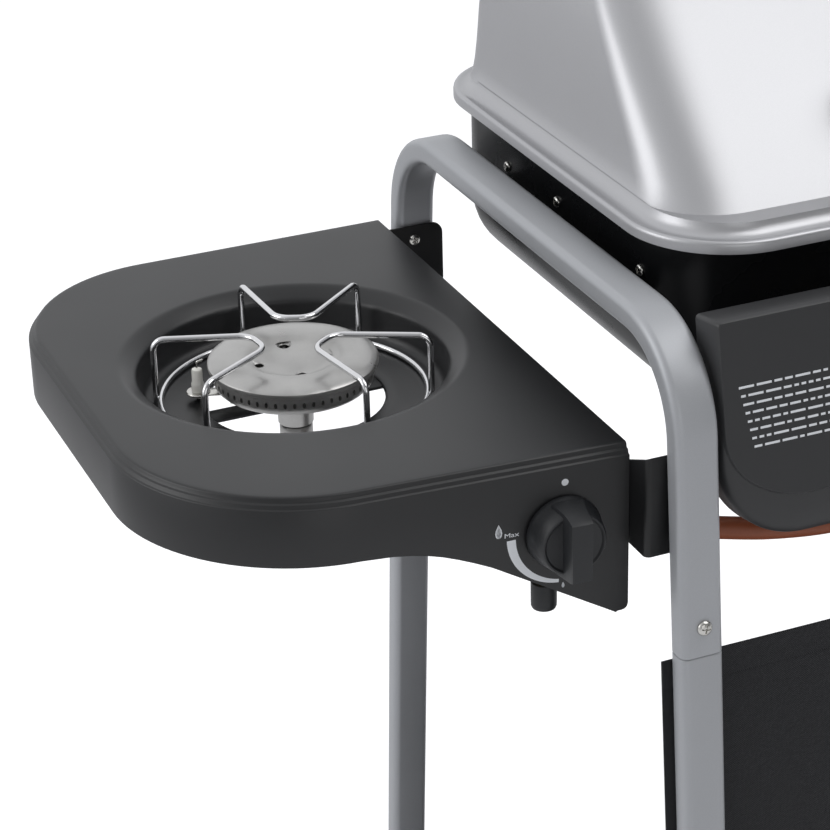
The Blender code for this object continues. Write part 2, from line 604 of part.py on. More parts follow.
# ---- drip tray under the firebox drain ----------------------------------------
holder = box("tray_holder", (-112 * MM, -60 * MM, 726 * MM), (112 * MM, 150 * MM, FIREBOX_BOTTOM - GAP), ZINC)
holder = cut(holder, box("space", (-108 * MM, -58 * MM, 730 * MM), (108 * MM, 160 * MM, 752 * MM), ZINC))
holder = cut(holder, box("window", (-90 * MM, -40 * MM, 0.70), (90 * MM, 160 * MM, 0.77), ZINC))
tray = box("drip_tray", (-107 * MM, -57 * MM, 730.5 * MM), (107 * MM, 156 * MM, 748 * MM), ALUMINISED, 2 * MM)
cut(tray, box("space", (-104 * MM, -54 * MM, 733 * MM), (104 * MM, 153 * MM, 760 * MM), ZINC, 2 * MM))

# ---- side tables --------------------------------------------------------------
# (inset, height) steps from the skirt's lower edge up over the pressed double ridge
EDGE_STEPS = ((0, -TABLE_DEPTH), (0, -6.5 * MM), (1.2 * MM, -4.2 * MM), (3.2 * MM, -3.8 * MM),
              (4 * MM, -1 * MM), (6 * MM, 0))


def table_ring(sign, inset, z, side_inset=0.0):
    """Table outline: square at the inner edge, large round corners at the outer end."""
    drop = (TABLE_OUT - TABLE_IN) * math.tan(TABLE_TAPER)
    corners = [(-TABLE_IN, TABLE_FRONT), (-TABLE_IN, TABLE_REAR), (-TABLE_OUT, TABLE_REAR),
               (-TABLE_OUT, TABLE_FRONT + drop)]
    corners = inset_corners(corners, [side_inset, inset, inset, inset])
    outline = filleted(corners, [MM, MM, 108 * MM - inset, 118 * MM - inset], 8)
    return [(-sign * x, y, z) for x, y in outline]


def side_table(name, sign):
    table = loft(name, [table_ring(sign, inset, TABLE_TOP + down) for inset, down in EDGE_STEPS], GRAPHITE)
    low, high = TABLE_TOP - TABLE_DEPTH - MM, TABLE_TOP - SHEET
    hollow = [table_ring(sign, SHEET, low, SHEET), table_ring(sign, SHEET, TABLE_TOP - 8 * MM, SHEET),
              table_ring(sign, 6 * MM + SHEET, high, SHEET)]
    table = cut(table, loft("inside", hollow, GRAPHITE))
    near, far = sorted((sign * (TABLE_IN - MM), sign * (TABLE_IN + 2 * SHEET)))
    return cut(table, box("slot", (near, TABLE_FRONT + 2 * SHEET, TABLE_TOP - TABLE_DEPTH - MM),
                          (far, TABLE_REAR - SHEET, TABLE_TOP - 12 * MM), GRAPHITE))


table = side_table("side_table_left", -1)
top = TABLE_TOP
bowl = [(0, top - 0.2 * MM), (WELL_RIM + 2 * MM, top - 0.2 * MM), (WELL_WALL + SHEET, top - 8 * MM),
        (WELL_WALL - 3 * MM, WELL_FLOOR - SHEET), (0, WELL_FLOOR - SHEET)]
table = join(table, turned("bowl", bowl, GRAPHITE, (WELL_X, WELL_Y, 0), steps=40))
bowl = [(0, top + MM), (WELL_RIM + MM, top + MM), (WELL_WALL, top - 6 * MM),
        (WELL_WALL - 5 * MM, WELL_FLOOR + 2 * MM),
        (WELL_WALL - 7 * MM, WELL_FLOOR), (0, WELL_FLOOR)]
table = cut(table, turned("dish", bowl, GRAPHITE, (WELL_X, WELL_Y, 0), steps=40))
table = cut(table, rod("hole", (WELL_X, WELL_Y, WELL_FLOOR - 0.01), (WELL_X, WELL_Y, WELL_FLOOR + 0.01),
                       WELL_HOLE, GRAPHITE, 36))

# The front skirt runs down into a plate that carries the knob. Plate distances are
# measured outwards from the table's inner edge, along the tapered front.
PLATE_LOW = 664 * MM
plate = [(0, PLATE_LOW), (0, top - 12 * MM), (170 * MM, top - 12 * MM), (170 * MM, top - TABLE_DEPTH + MM),
         (145 * MM, 733 * MM), (120 * MM, 727 * MM), (104 * MM, 719 * MM), (8 * MM, PLATE_LOW)]
along = Vector((-math.cos(TABLE_TAPER), math.sin(TABLE_TAPER), 0))
FACE = Vector((-math.sin(TABLE_TAPER), -math.cos(TABLE_TAPER), 0))
frame = Matrix((along, Vector((0, 0, 1)), FACE)).transposed().to_4x4()
frame.translation = Vector((-TABLE_IN, TABLE_FRONT, 0)) - FACE * (SHEET + 0.3 * MM)
table = join(table, flat("plate", plate, SHEET, GRAPHITE, frame))

SIDE_KNOB = Vector((-TABLE_IN, TABLE_FRONT, 731 * MM)) + along * 45 * MM
table = cut(table, rod("hole", SIDE_KNOB - FACE * 5 * MM, SIDE_KNOB + FACE * 5 * MM, 6 * MM, GRAPHITE))

side_table("side_table_right", 1)
BRACKET_LOW, BRACKET_HIGH, PLATE = 712 * MM, 781 * MM, 2 * MM
TONGUE_HIGH = 768 * MM                  # the parts under the table stop below its folded edge
for side, sign in (("left", -1), ("right", 1)):
    name = "table_bracket_front_" + side
    at_leg, at_table = sign * (SIDE_X - TUBE_W / 2 + MM), sign * (TABLE_IN - GAP)
    inside = sign * (TABLE_IN + 26 * MM)
    leg_face = leg_y(TABLE_TOP) - TUBE_D / 2 - PLATE
    skirt_face = abs(TABLE_FRONT) - 7.4 * MM
    near, far = sorted((at_leg, at_table))
    arm = box(name, (near, -leg_face, BRACKET_LOW), (far, -leg_face + PLATE, BRACKET_HIGH), BLACK_STEEL)
    near, far = sorted((at_table, at_table - sign * PLATE))
    web = box("web", (near, -leg_face, BRACKET_LOW), (far, -skirt_face + PLATE, TONGUE_HIGH), BLACK_STEEL)
    near, far = sorted((at_table - sign * PLATE, inside))
    tongue = box("tongue", (near, -skirt_face, BRACKET_LOW), (far, -skirt_face + PLATE, TONGUE_HIGH),
                 BLACK_STEEL)
    join(join(arm, web), tongue)
    tab, low = (SIDE_X - 20 * MM, TONGUE_HIGH + 9 * MM), TONGUE_HIGH - 40 * MM
    outline = [(abs(inside), low), (tab[0], low)]
    outline += list(arc((tab[0] + 10 * MM, tab[1] - 10 * MM), 10 * MM, 180, 90, 5))
    outline += [(abs(at_table) - MM, tab[1]), (abs(at_table) - MM, TONGUE_HIGH), (abs(inside), TONGUE_HIGH)]
    upright = Matrix(((1, 0, 0, 0), (0, 0, -1, leg_face), (0, 1, 0, 0), (0, 0, 0, 1)))
    flat("table_bracket_rear_" + side, [(sign * x, z) for x, z in outline], PLATE, BLACK_STEEL, upright)

# ---- side burner --------------------------------------------------------------
CENTRE = Vector((WELL_X, WELL_Y, 0))
body = [(0, 750 * MM), (9 * MM, 750 * MM), (9 * MM, 733 * MM), (12 * MM, 733 * MM), (12 * MM, 752 * MM),
        (50 * MM, 764 * MM), (55 * MM, 766 * MM), (55 * MM, 775 * MM), (52 * MM, 775 * MM),
        (46 * MM, 767 * MM), (0, 757 * MM)]
turned("side_burner_body", list(reversed(body)), ALUMINISED, CENTRE, steps=36)
cap = [(0, 777.5 * MM), (22 * MM, 777.5 * MM), (28 * MM, 780.5 * MM), (36 * MM, 782.6 * MM),
       (52 * MM, 782.6 * MM), (57.5 * MM, 780 * MM), (57.5 * MM, 775.4 * MM), (0, 775.4 * MM)]
turned("side_burner_cap", cap, ALUMINISED, CENTRE, steps=36)
strap = box("side_burner_strap", (WELL_X - 82 * MM, WELL_Y - 8 * MM, 746.6 * MM),
            (WELL_X + 82 * MM, WELL_Y + 8 * MM, 749 * MM), ZINC)
eye = rod("eye", CENTRE + Vector((0, 0, 746.6 * MM)), CENTRE + Vector((0, 0, 749 * MM)), 18 * MM, ZINC)
strap = join(strap, eye)
cut(strap, rod("throat", CENTRE + Vector((0, 0, 0.74)), CENTRE + Vector((0, 0, 0.76)), 12.4 * MM, ZINC))

SPARK = Vector((WELL_X - 60 * MM, WELL_Y + 24 * MM, 0))
pin = [(0, 781 * MM), (1.2 * MM, 781 * MM), (1.2 * MM, 774 * MM), (3.5 * MM, 773 * MM), (4.2 * MM, 762 * MM),
       (4.2 * MM, 754 * MM), (7 * MM, 754 * MM), (7 * MM, WELL_FLOOR + GAP), (0, WELL_FLOOR + GAP)]
turned("electrode", pin, CERAMIC, SPARK, steps=16)

VALVE_BACK = SIDE_KNOB - FACE * 52 * MM
valve = rod("side_valve", SIDE_KNOB - FACE * 20 * MM, VALVE_BACK, 11 * MM, BRASS)
INLET = SIDE_KNOB - FACE * 32 * MM
valve = join(valve, rod("inlet", INLET, (INLET.x, INLET.y, 666 * MM), 6 * MM, BRASS, 16))
HOSE_START = Vector((INLET.x + 24 * MM, INLET.y, 716 * MM))
join(valve, rod("branch", (INLET.x, INLET.y, 716 * MM), HOSE_START, 6 * MM, BRASS, 16))
cap = [(0, 19 * MM), (7 * MM, 19 * MM), (8.5 * MM, 17 * MM), (8.5 * MM, 0), (6.3 * MM, 0),
       (6.3 * MM, 12 * MM), (0, 12 * MM)]
turned("inlet_cap", cap, PLASTIC, (INLET.x, INLET.y, 677 * MM), (0, 0, -1), 20)
rod("side_valve_stem", SIDE_KNOB - FACE * 18 * MM, SIDE_KNOB + FACE * 1.6 * MM, 4 * MM, BRASS, 12)
knob("side_knob", SIDE_KNOB + FACE * 2.2 * MM, FACE, Vector((0, 0, 1)), 25 * MM)

throat = CENTRE + Vector((0, 0, 732.6 * MM))
route = [VALVE_BACK - FACE * GAP, VALVE_BACK - FACE * 22 * MM, CENTRE + Vector((0, 0, 698 * MM)), throat]
tube("side_burner_tube", bent_route(route, 18 * MM, 8), 7 * MM, ALUMINISED, 2)

# Wire pan support: a base ring and three bows that reach in over the burner.
WIRE, RING_R, POST_R, TIP_R = 2 * MM, 90 * MM, 92.5 * MM, 24 * MM
RING_Z, BOW_Z = WELL_FLOOR + WIRE + GAP, 797 * MM
ring = [(RING_R + WIRE * math.cos(math.radians(45 * i)), RING_Z + WIRE * math.sin(math.radians(45 * i)))
        for i in range(8)]
support = turned("pan_support", ring, CHROME, CENTRE, steps=48, closed=True)
for middle in (186, 66, -54):
    bow = []
    spread = 26
    for sign in (-1, 1):
        turn = math.radians(middle + sign * spread)
        post = CENTRE + Vector((POST_R * math.cos(turn), POST_R * math.sin(turn), 0))
        tip_turn = math.radians(middle + sign * spread)
        tip = CENTRE + Vector((TIP_R * math.cos(tip_turn), TIP_R * math.sin(tip_turn), BOW_Z))
        inward = (tip - post)
        inward.z = 0
        inward.normalize()
        side = [post + Vector((0, 0, RING_Z - WIRE))]
        for angle in (0, 30, 60, 90):
            bend = math.radians(angle)
            side.append(post + inward * 8 * MM * (1 - math.cos(bend))
                        + Vector((0, 0, BOW_Z - 8 * MM * (1 - math.sin(bend)))))
        side.append(tip)
        bow.append(side)
    nose = math.radians(middle)
    nose = CENTRE + Vector((0.72 * TIP_R * math.cos(nose), 0.72 * TIP_R * math.sin(nose), BOW_Z))
    support = join(support, tube("bow", bow[0] + [nose] + list(reversed(bow[1])), WIRE, CHROME, 2))

# Rubber hose from the side valve to the manifold, sagging between its two ends.
HOSE_R = 7.5 * MM
hose_end = Vector((HOSE_END.x - 16.4 * MM, MANIFOLD_Y, 701 * MM))
route = [HOSE_START + Vector((GAP, 0, 0)), HOSE_START + Vector((20 * MM, -1 * MM, 0)),
         (-318 * MM, -160 * MM, 713 * MM), (-290 * MM, -172 * MM, 709 * MM),
         (-255 * MM, -184 * MM, 704 * MM), (-215 * MM, -190 * MM, 698 * MM),
         (-170 * MM, -191 * MM, 694 * MM), (-130 * MM, -190 * MM, 695 * MM),
         (-100 * MM, -190 * MM, 698 * MM), hose_end]
tube("gas_hose", smooth_route(route, 3), HOSE_R, RUBBER, 2)
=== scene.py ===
import math
import random

import bmesh
import bpy
from mathutils import Matrix, Vector


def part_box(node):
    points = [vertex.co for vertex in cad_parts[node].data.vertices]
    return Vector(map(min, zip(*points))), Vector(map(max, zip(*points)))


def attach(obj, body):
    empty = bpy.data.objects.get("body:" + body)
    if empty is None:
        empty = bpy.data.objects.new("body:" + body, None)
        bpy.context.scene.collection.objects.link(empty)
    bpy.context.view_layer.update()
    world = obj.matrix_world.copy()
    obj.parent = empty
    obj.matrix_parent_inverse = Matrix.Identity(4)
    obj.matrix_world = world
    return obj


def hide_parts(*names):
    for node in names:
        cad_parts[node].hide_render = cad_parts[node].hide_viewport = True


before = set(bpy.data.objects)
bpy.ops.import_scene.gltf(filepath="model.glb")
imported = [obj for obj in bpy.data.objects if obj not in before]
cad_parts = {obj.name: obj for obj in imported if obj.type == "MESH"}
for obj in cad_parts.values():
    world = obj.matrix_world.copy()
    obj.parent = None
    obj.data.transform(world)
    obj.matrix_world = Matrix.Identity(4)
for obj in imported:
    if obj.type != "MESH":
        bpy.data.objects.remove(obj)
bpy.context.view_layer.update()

# ==== Camera ======================================================================
# A long lens stands ahead of the cart's left front corner, about 1.5 m up, and looks
# down over the side table.
AZIMUTH, DOWN, ROLL = math.radians(22.429), math.radians(26.482), math.radians(-1.631)
bpy.ops.object.camera_add(location=(-1.00946, -1.49461, 1.53806))
camera = bpy.context.object
level = Vector((math.cos(AZIMUTH), -math.sin(AZIMUTH), 0))
ahead = Vector((math.sin(AZIMUTH) * math.cos(DOWN), math.cos(AZIMUTH) * math.cos(DOWN), -math.sin(DOWN)))
above = level.cross(ahead)
turn = Matrix((level * math.cos(ROLL) + above * math.sin(ROLL),
               above * math.cos(ROLL) - level * math.sin(ROLL), -ahead)).transposed()
camera.matrix_world = Matrix.Translation(camera.location) @ turn.to_4x4()
camera.data.lens, camera.data.sensor_width = 115.79, 36
camera.data.clip_start, camera.data.clip_end = 0.05, 60
bpy.context.scene.camera = camera


# ==== Gas hose ====================================================================
# An orange-brown rubber hose runs from the side burner's valve to the manifold behind
# the control panel. It hangs between its two ends, which are pushed onto crimped nipples.
MM = 0.001
HOSE_DIAMETER, HOSE_LENGTH = 0.015, 0.2785
HOSE_ROUTE = [(-345.36, -152.94, 716), (-325.66, -153.94, 716), (-318, -160, 713), (-290, -172, 709),
              (-255, -184, 704), (-215, -190, 698), (-170, -191, 694), (-130, -190, 695),
              (-100, -190, 698), (-76.4, -190, 701)]


def node(tree, kind, **settings):
    """Add a shader node and set its fields, or its inputs by number as in0=, in1="""
    made = tree.nodes.new("ShaderNode" + kind)
    for key, value in settings.items():
        if key[:2] == "in" and key[2:].isdigit():
            made.inputs[int(key[2:])].default_value = value
        else:
            setattr(made, key, value)
    return made


def effect(name, inputs, outputs):
    """A shader node group with named inputs (name, kind, value) and outputs (name, kind)."""
    group = bpy.data.node_groups.new(name, "ShaderNodeTree")
    for label, kind, value in inputs:
        group.interface.new_socket(label, in_out="INPUT", socket_type="NodeSocket" + kind).default_value = value
    for label, kind in outputs:
        group.interface.new_socket(label, in_out="OUTPUT", socket_type="NodeSocket" + kind)
    return group, group.nodes.new("NodeGroupInput").outputs, group.nodes.new("NodeGroupOutput").inputs


def math_node(tree, operation, a, b):
    """A Math node whose two inputs are sockets or numbers."""
    made = node(tree, "Math", operation=operation)
    for socket, value in zip(made.inputs, (a, b)):
        if isinstance(value, (int, float)):
            socket.default_value = value
        else:
            tree.links.new(value, socket)
    return made.outputs[0]


# Fine grain with slow clouds of tone, as in a sprayed, moulded or plated surface.
GRAIN, given, gives = effect(
    "surface_grain",
    [("Colour", "Color", (0.5, 0.5, 0.5, 1)), ("Clouds", "Float", 0.1), ("Speckle", "Float", 0.05),
     ("Cloud scale", "Float", 7), ("Grain scale", "Float", 1400), ("Grain depth", "Float", 0.00001),
     ("Roughness", "Float", 0.4), ("Roughness spread", "Float", 0.08)],
    [("Colour", "Color"), ("Roughness", "Float"), ("Normal", "Vector")])
place = node(GRAIN, "TexCoord").outputs["Object"]
clouds = node(GRAIN, "TexNoise", in3=4.0)
speckle = node(GRAIN, "TexNoise", in3=2.0)
for noise, scale in ((clouds, "Cloud scale"), (speckle, "Grain scale")):
    GRAIN.links.new(place, noise.inputs["Vector"])
    GRAIN.links.new(given[scale], noise.inputs["Scale"])
cloud_level = math_node(GRAIN, "SUBTRACT", clouds.outputs["Fac"], 0.5)
speckle_level = math_node(GRAIN, "SUBTRACT", speckle.outputs["Fac"], 0.5)
tone = math_node(GRAIN, "ADD", math_node(GRAIN, "MULTIPLY", cloud_level, given["Clouds"]),
                 math_node(GRAIN, "MULTIPLY", speckle_level, given["Speckle"]))
shade = node(GRAIN, "VectorMath", operation="SCALE")
GRAIN.links.new(given["Colour"], shade.inputs[0])
GRAIN.links.new(math_node(GRAIN, "ADD", tone, 1.0), shade.inputs["Scale"])
GRAIN.links.new(shade.outputs[0], gives["Colour"])
GRAIN.links.new(math_node(GRAIN, "ADD", given["Roughness"],
                          math_node(GRAIN, "MULTIPLY", cloud_level, given["Roughness spread"])), gives["Roughness"])
bump = node(GRAIN, "Bump")
GRAIN.links.new(speckle.outputs["Fac"], bump.inputs["Height"])
GRAIN.links.new(given["Grain depth"], bump.inputs["Distance"])
GRAIN.links.new(bump.outputs[0], gives["Normal"])


def finish_of(name, colour, roughness, metallic=0.0, clouds=0.1, speckle=0.05, cloud_scale=7.0, grain=1400.0,
              depth=0.00001, spread=0.08, specular=0.5, coat=0.0, coat_roughness=0.2):
    """A material whose colour, roughness and relief come from the surface grain."""
    made = bpy.data.materials.new(name)
    made.use_nodes = True
    shader = made.node_tree.nodes["Principled BSDF"]
    shader.inputs["Metallic"].default_value = metallic
    shader.inputs["Specular IOR Level"].default_value = specular
    shader.inputs["Coat Weight"].default_value = coat
    shader.inputs["Coat Roughness"].default_value = coat_roughness
    grained = made.node_tree.nodes.new("ShaderNodeGroup")
    grained.node_tree = GRAIN
    values = ((*colour, 1), clouds, speckle, cloud_scale, grain, depth, roughness, spread)
    for socket, value in zip(grained.inputs, values):
        socket.default_value = value
    for socket, target in zip(grained.outputs, ("Base Color", "Roughness", "Normal")):
        made.node_tree.links.new(socket, shader.inputs[target])
    return made


def deselect():
    """Leave edit mode and select nothing."""
    if bpy.context.object and bpy.context.object.mode == "EDIT":
        bpy.ops.object.mode_set(mode="OBJECT")
    bpy.ops.object.select_all(action="DESELECT")


def only(piece):
    """Make a piece the one selected and active object."""
    deselect()
    piece.select_set(True)
    bpy.context.view_layer.objects.active = piece


def done(piece, finish, body, replaced=(), smooth=35):
    """Finish a piece: mesh, place in the mesh, smooth by angle, material and body, and hide the CAD nodes it replaces.
    """
    only(piece)
    if piece.type != "MESH":
        bpy.ops.object.convert(target="MESH")
        piece = bpy.context.object
    bpy.ops.object.transform_apply(location=True, rotation=True, scale=True)
    if smooth:
        bpy.ops.object.shade_smooth_by_angle(angle=math.radians(smooth))
    piece.data.materials.clear()
    piece.data.materials.append(finish)
    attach(piece, body)
    if replaced:
        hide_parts(*replaced)
    return piece


def pipe_line(name, points, kind="POLY"):
    """A curve of one open spline through points given in millimetres."""
    deselect()
    bpy.ops.curve.primitive_bezier_curve_add()
    line = bpy.context.object
    line.name = line.data.name = name
    line.data.splines.clear()
    spline = line.data.splines.new(kind)
    if kind == "BEZIER":
        spline.bezier_points.add(len(points) - 1)
        for knot, at in zip(spline.bezier_points, points):
            knot.co = Vector(at) * MM
            knot.handle_left_type = knot.handle_right_type = "AUTO"
    else:
        spline.points.add(len(points) - 1)
        for knot, at in zip(spline.points, points):
            knot.co = (*(Vector(at) * MM), 1)
    return line


RUBBER = finish_of("hose_rubber_orange_brown", (0.26, 0.066, 0.024), 0.5, clouds=0.5, speckle=0.2,
                   cloud_scale=30, grain=900, depth=0.00004, spread=0.2)
hose = pipe_line("gas_hose_rubber", HOSE_ROUTE, "BEZIER")
hose.data.dimensions = "3D"
hose.data.bevel_depth = HOSE_DIAMETER / 2
hose.data.bevel_resolution = 7
hose.data.resolution_u = 10
hose.data.use_fill_caps = True
hose.data.materials.append(RUBBER)
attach(hose, "cart")
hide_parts("gas_hose")


# ==== Side frames =================================================================
# Each side is one flat steel tube, 30 x 18 mm with round corners, bent into a hoop over
# the cart's side. Its two ends sleeve over separate lower legs. All of it is sprayed silver.
SIDE_X, HOOP_TOP, TUBE_WIDE, TUBE_DEEP, TUBE_CORNER = 0.300, 0.862, 0.030, 0.018, 0.0055
LEG_Y, TABLE_TOP, SPLAY = 0.2193, 0.782, 0.086
JOINT_Z, BEND = 0.650, 0.066
LEAN = math.atan(SPLAY)


def leg_y(z):
    """How far a leg's middle stands from the middle of the cart, at a height."""
    return LEG_Y + SPLAY * (TABLE_TOP - z)


def draw(name, points, closed=True):
    """Draw points one after another by extrusion, and fill the outline if it is closed."""
    deselect()
    bpy.ops.mesh.primitive_plane_add(size=0.01)
    piece = bpy.context.object
    piece.name = piece.data.name = name
    bpy.ops.object.mode_set(mode="EDIT")
    bpy.ops.mesh.select_mode(type="VERT")
    bpy.ops.mesh.select_all(action="SELECT")
    bpy.ops.mesh.merge(type="CENTER")
    bpy.ops.transform.translate(value=points[0])
    for here, there in zip(points, points[1:]):
        bpy.ops.mesh.extrude_vertices_move(
            TRANSFORM_OT_translate={"value": Vector(there) - Vector(here)})
    if closed:
        bpy.ops.mesh.extrude_vertices_move(
            TRANSFORM_OT_translate={"value": Vector(points[0]) - Vector(points[-1])})
        bpy.ops.mesh.select_all(action="SELECT")
        bpy.ops.mesh.remove_doubles(threshold=0.000001)
        bpy.ops.mesh.edge_face_add()
    return piece


def pick(test, kind="VERT"):
    """In edit mode, select the points, edges or faces whose middle and normal pass a test."""
    bpy.ops.mesh.select_mode(type=kind)
    bpy.ops.mesh.select_all(action="DESELECT")
    mesh = bmesh.from_edit_mesh(bpy.context.object.data)
    for item in {"VERT": mesh.verts, "EDGE": mesh.edges, "FACE": mesh.faces}[kind]:
        if kind == "VERT":
            middle, facing = item.co, item.normal
        elif kind == "EDGE":
            middle, facing = (item.verts[0].co + item.verts[1].co) / 2, item.verts[0].co - item.verts[1].co
        else:
            middle, facing = item.calc_center_median(), item.normal
        if test(middle, facing):
            item.select = True
    mesh.select_flush(True)
    bmesh.update_edit_mesh(bpy.context.object.data)


def round_corners(test, radius, segments=8):
    """Round the corners of a flat outline whose place passes a test."""
    pick(lambda at, facing: test(at))
    bpy.ops.mesh.bevel(offset=radius, offset_type="OFFSET", segments=segments, affect="VERTICES")


def push(value):
    """Extrude what is selected by a vector."""
    bpy.ops.mesh.extrude_region_move(TRANSFORM_OT_translate={"value": value})


def tidy_mesh(gap=0.000002):
    """Merge doubles and turn all faces outwards."""
    bpy.ops.mesh.select_mode(type="VERT")
    bpy.ops.mesh.select_all(action="SELECT")
    bpy.ops.mesh.remove_doubles(threshold=gap)
    bpy.ops.mesh.normals_make_consistent(inside=False)


def ease(piece, width, segments=3, angle=30):
    """Round a piece's sharp edges with an applied Bevel."""
    only(piece)
    step = piece.modifiers.new("ease", "BEVEL")
    step.width, step.segments, step.angle_limit = width, segments, math.radians(angle)
    step.limit_method, step.harden_normals = "ANGLE", False
    bpy.ops.object.modifier_apply(modifier=step.name)


def tube_section(name, x, y, z, along_y):
    """The tube's outline, standing across Y or lying across Z, with its corners rounded."""
    a, b = TUBE_WIDE / 2, TUBE_DEEP / 2
    corners = [(-a, -b), (a, -b), (a, b), (-a, b)]
    points = [(x + u, y, z + v) if along_y else (x + u, y + v, z) for u, v in corners]
    piece = draw(name, points)
    round_corners(lambda at: True, TUBE_CORNER, 6)
    pick(lambda at, facing: True, "FACE")
    return piece


SILVER = finish_of("silver_sprayed_steel", (0.385, 0.395, 0.415), 0.42, metallic=0.35, clouds=0.10, speckle=0.16,
                   cloud_scale=11, grain=1700, depth=0.000012, spread=0.12, coat=0.12, coat_roughness=0.35)
corner_y = leg_y(HOOP_TOP - TUBE_DEEP / 2)
bend_turn = math.pi / 2 - LEAN
bend_y = corner_y - BEND * math.tan(bend_turn / 2)
bend_z = HOOP_TOP - TUBE_DEEP / 2 - BEND
for side, sign in (("left", -1), ("right", 1)):
    x = sign * SIDE_X
    hoop = tube_section("hoop_tube_" + side, x, 0, HOOP_TOP - TUBE_DEEP / 2, True)
    push((0, -bend_y, 0))
    bpy.ops.mesh.spin(steps=20, angle=-bend_turn, center=(x, -bend_y, bend_z), axis=(1, 0, 0))
    push((0, -SPLAY * 0.20, -0.20))
    tidy_mesh()
    bpy.ops.mesh.bisect(plane_co=(0, 0, JOINT_Z + 0.0003), plane_no=(0, 0, 1), clear_inner=True, use_fill=True)
    pick(lambda at, facing: abs(at.y) < 0.001 and abs(facing.y) > 0.9, "FACE")
    bpy.ops.mesh.delete(type="FACE")
    bpy.ops.object.mode_set(mode="OBJECT")
    mirror = hoop.modifiers.new("other half", "MIRROR")
    mirror.use_axis = (False, True, False)
    bpy.ops.object.modifier_apply(modifier=mirror.name)
    bpy.ops.object.mode_set(mode="EDIT")
    tidy_mesh()
    done(hoop, SILVER, "cart", ["frame_hoop_" + side], 40)
    for end, way in (("front", -1), ("rear", 1)):
        foot = 0.018 if side == "left" else 0.058
        top = JOINT_Z - 0.0003
        leg = tube_section("leg_tube_%s_%s" % (end, side), x, way * leg_y(top), top, False)
        push((0, way * (leg_y(foot) - leg_y(top)), foot - top))
        tidy_mesh()
        pick(lambda at, facing: facing.z > 0.9, "FACE")
        bpy.ops.mesh.bevel(offset=0.0012, segments=3, affect="EDGES")
        done(leg, SILVER, "cart", ["leg_%s_%s" % (end, side)], 40)

# ==== Left side table =============================================================
# One sheet of 1.2 mm steel, pressed with a double step round its free edges, a skirt and
# a round well, and sprayed a satin dark grey. Its front skirt runs down to hold the knob.
IN_X, OUT_X, REAR_Y, FRONT_Y = -0.327, -0.621, 0.226, -0.188
TAPER, SKIRT_LOW, BEYOND = math.radians(4), 0.736, 0.027
WELL = Vector((-0.468, 0.028, 0))
ALONG = Vector((-math.cos(TAPER), math.sin(TAPER), 0))       # along the front skirt, outwards
FACE = Vector((-math.sin(TAPER), -math.cos(TAPER), 0))       # square to the front skirt
FRONT_CORNER = Vector((IN_X, FRONT_Y, 0))
# (inwards, upwards) moves over the pressed double step, in millimetres
STEP_MOVES = ((0.3, 0.5), (0.9, 0.2), (0.5, 0.4), (0.4, 1.9), (0.5, 0.5), (0.9, 0.2), (0.6, 0.5), (0.4, 2.0),
              (0.5, 0.7), (0.9, 0.4), (1.2, 0.1), (3, 0))
# (radius, height) of the well from the flat top inwards, in millimetres
WELL_LINE = ((117, 781.9), (115.6, 781.5), (113.5, 780.5), (107, 776.3), (105.2, 774.9), (104.3, 773.2),
             (104, 771), (102.6, 757.5), (101.6, 754), (99.3, 751.9), (96, 751), (70, 751), (63.2, 751),
             (61.8, 750.5), (61, 749.4), (60.9, 748))
# (distance from the inner edge, height) of the lower edge of the front plate, in millimetres
PLATE_EDGE = ((0, 669), (0.6, 666.6), (2.2, 665), (4.6, 664.4), (7, 664.4), (8.4, 663.6), (60, 694.6),
              (92, 713.8), (104, 719.6), (114, 724), (124, 727.9), (134, 730.9), (144, 733), (156, 734.8),
              (170, 735.6))
STEP_RISE = sum(up for inwards, up in STEP_MOVES) * MM


def table_shell(name):
    """The table's top, double step and skirt, cut off square at its inner edge."""
    slant = math.tan(TAPER)
    top = draw(name, [(IN_X + BEYOND, FRONT_Y - BEYOND * slant, SKIRT_LOW), (IN_X + BEYOND, REAR_Y, SKIRT_LOW),
                      (OUT_X, REAR_Y, SKIRT_LOW), (OUT_X, FRONT_Y + (IN_X - OUT_X) * slant, SKIRT_LOW)])
    round_corners(lambda at: at.x < -0.5 and at.y > 0, 0.108, 26)
    round_corners(lambda at: at.x < -0.5 and at.y < -0.1, 0.118, 28)
    pick(lambda at, facing: True, "FACE")
    push((0, 0, TABLE_TOP - STEP_RISE - SKIRT_LOW))
    for inwards, up in STEP_MOVES:
        bpy.ops.mesh.inset(thickness=inwards * MM, depth=0)
        bpy.ops.transform.translate(value=(0, 0, up * MM))
    pick(lambda at, facing: abs(at.z - SKIRT_LOW) < 0.0001 and abs(facing.z) > 0.9, "FACE")
    bpy.ops.mesh.delete(type="FACE")
    bpy.ops.mesh.select_all(action="SELECT")
    bpy.ops.mesh.bisect(plane_co=(IN_X, 0, 0), plane_no=(1, 0, 0), clear_outer=True)
    return top


def fold_inner_edge():
    """Turn the top's inner edge down by 12 mm."""
    pick(lambda at, facing: abs(at.x - IN_X) < 0.0001 and at.z > TABLE_TOP - 0.0001, "EDGE")
    push((0, 0, -0.0015))
    push((0, 0, -0.0105))


def wall(piece, thickness):
    """Give an open shell its sheet thickness, inwards."""
    bpy.ops.mesh.select_all(action="SELECT")
    bpy.ops.mesh.remove_doubles(threshold=0.000002)
    only(piece)
    step = piece.modifiers.new("sheet", "SOLIDIFY")
    step.thickness, step.offset, step.use_even_offset = thickness, -1, True
    bpy.ops.object.modifier_apply(modifier=step.name)


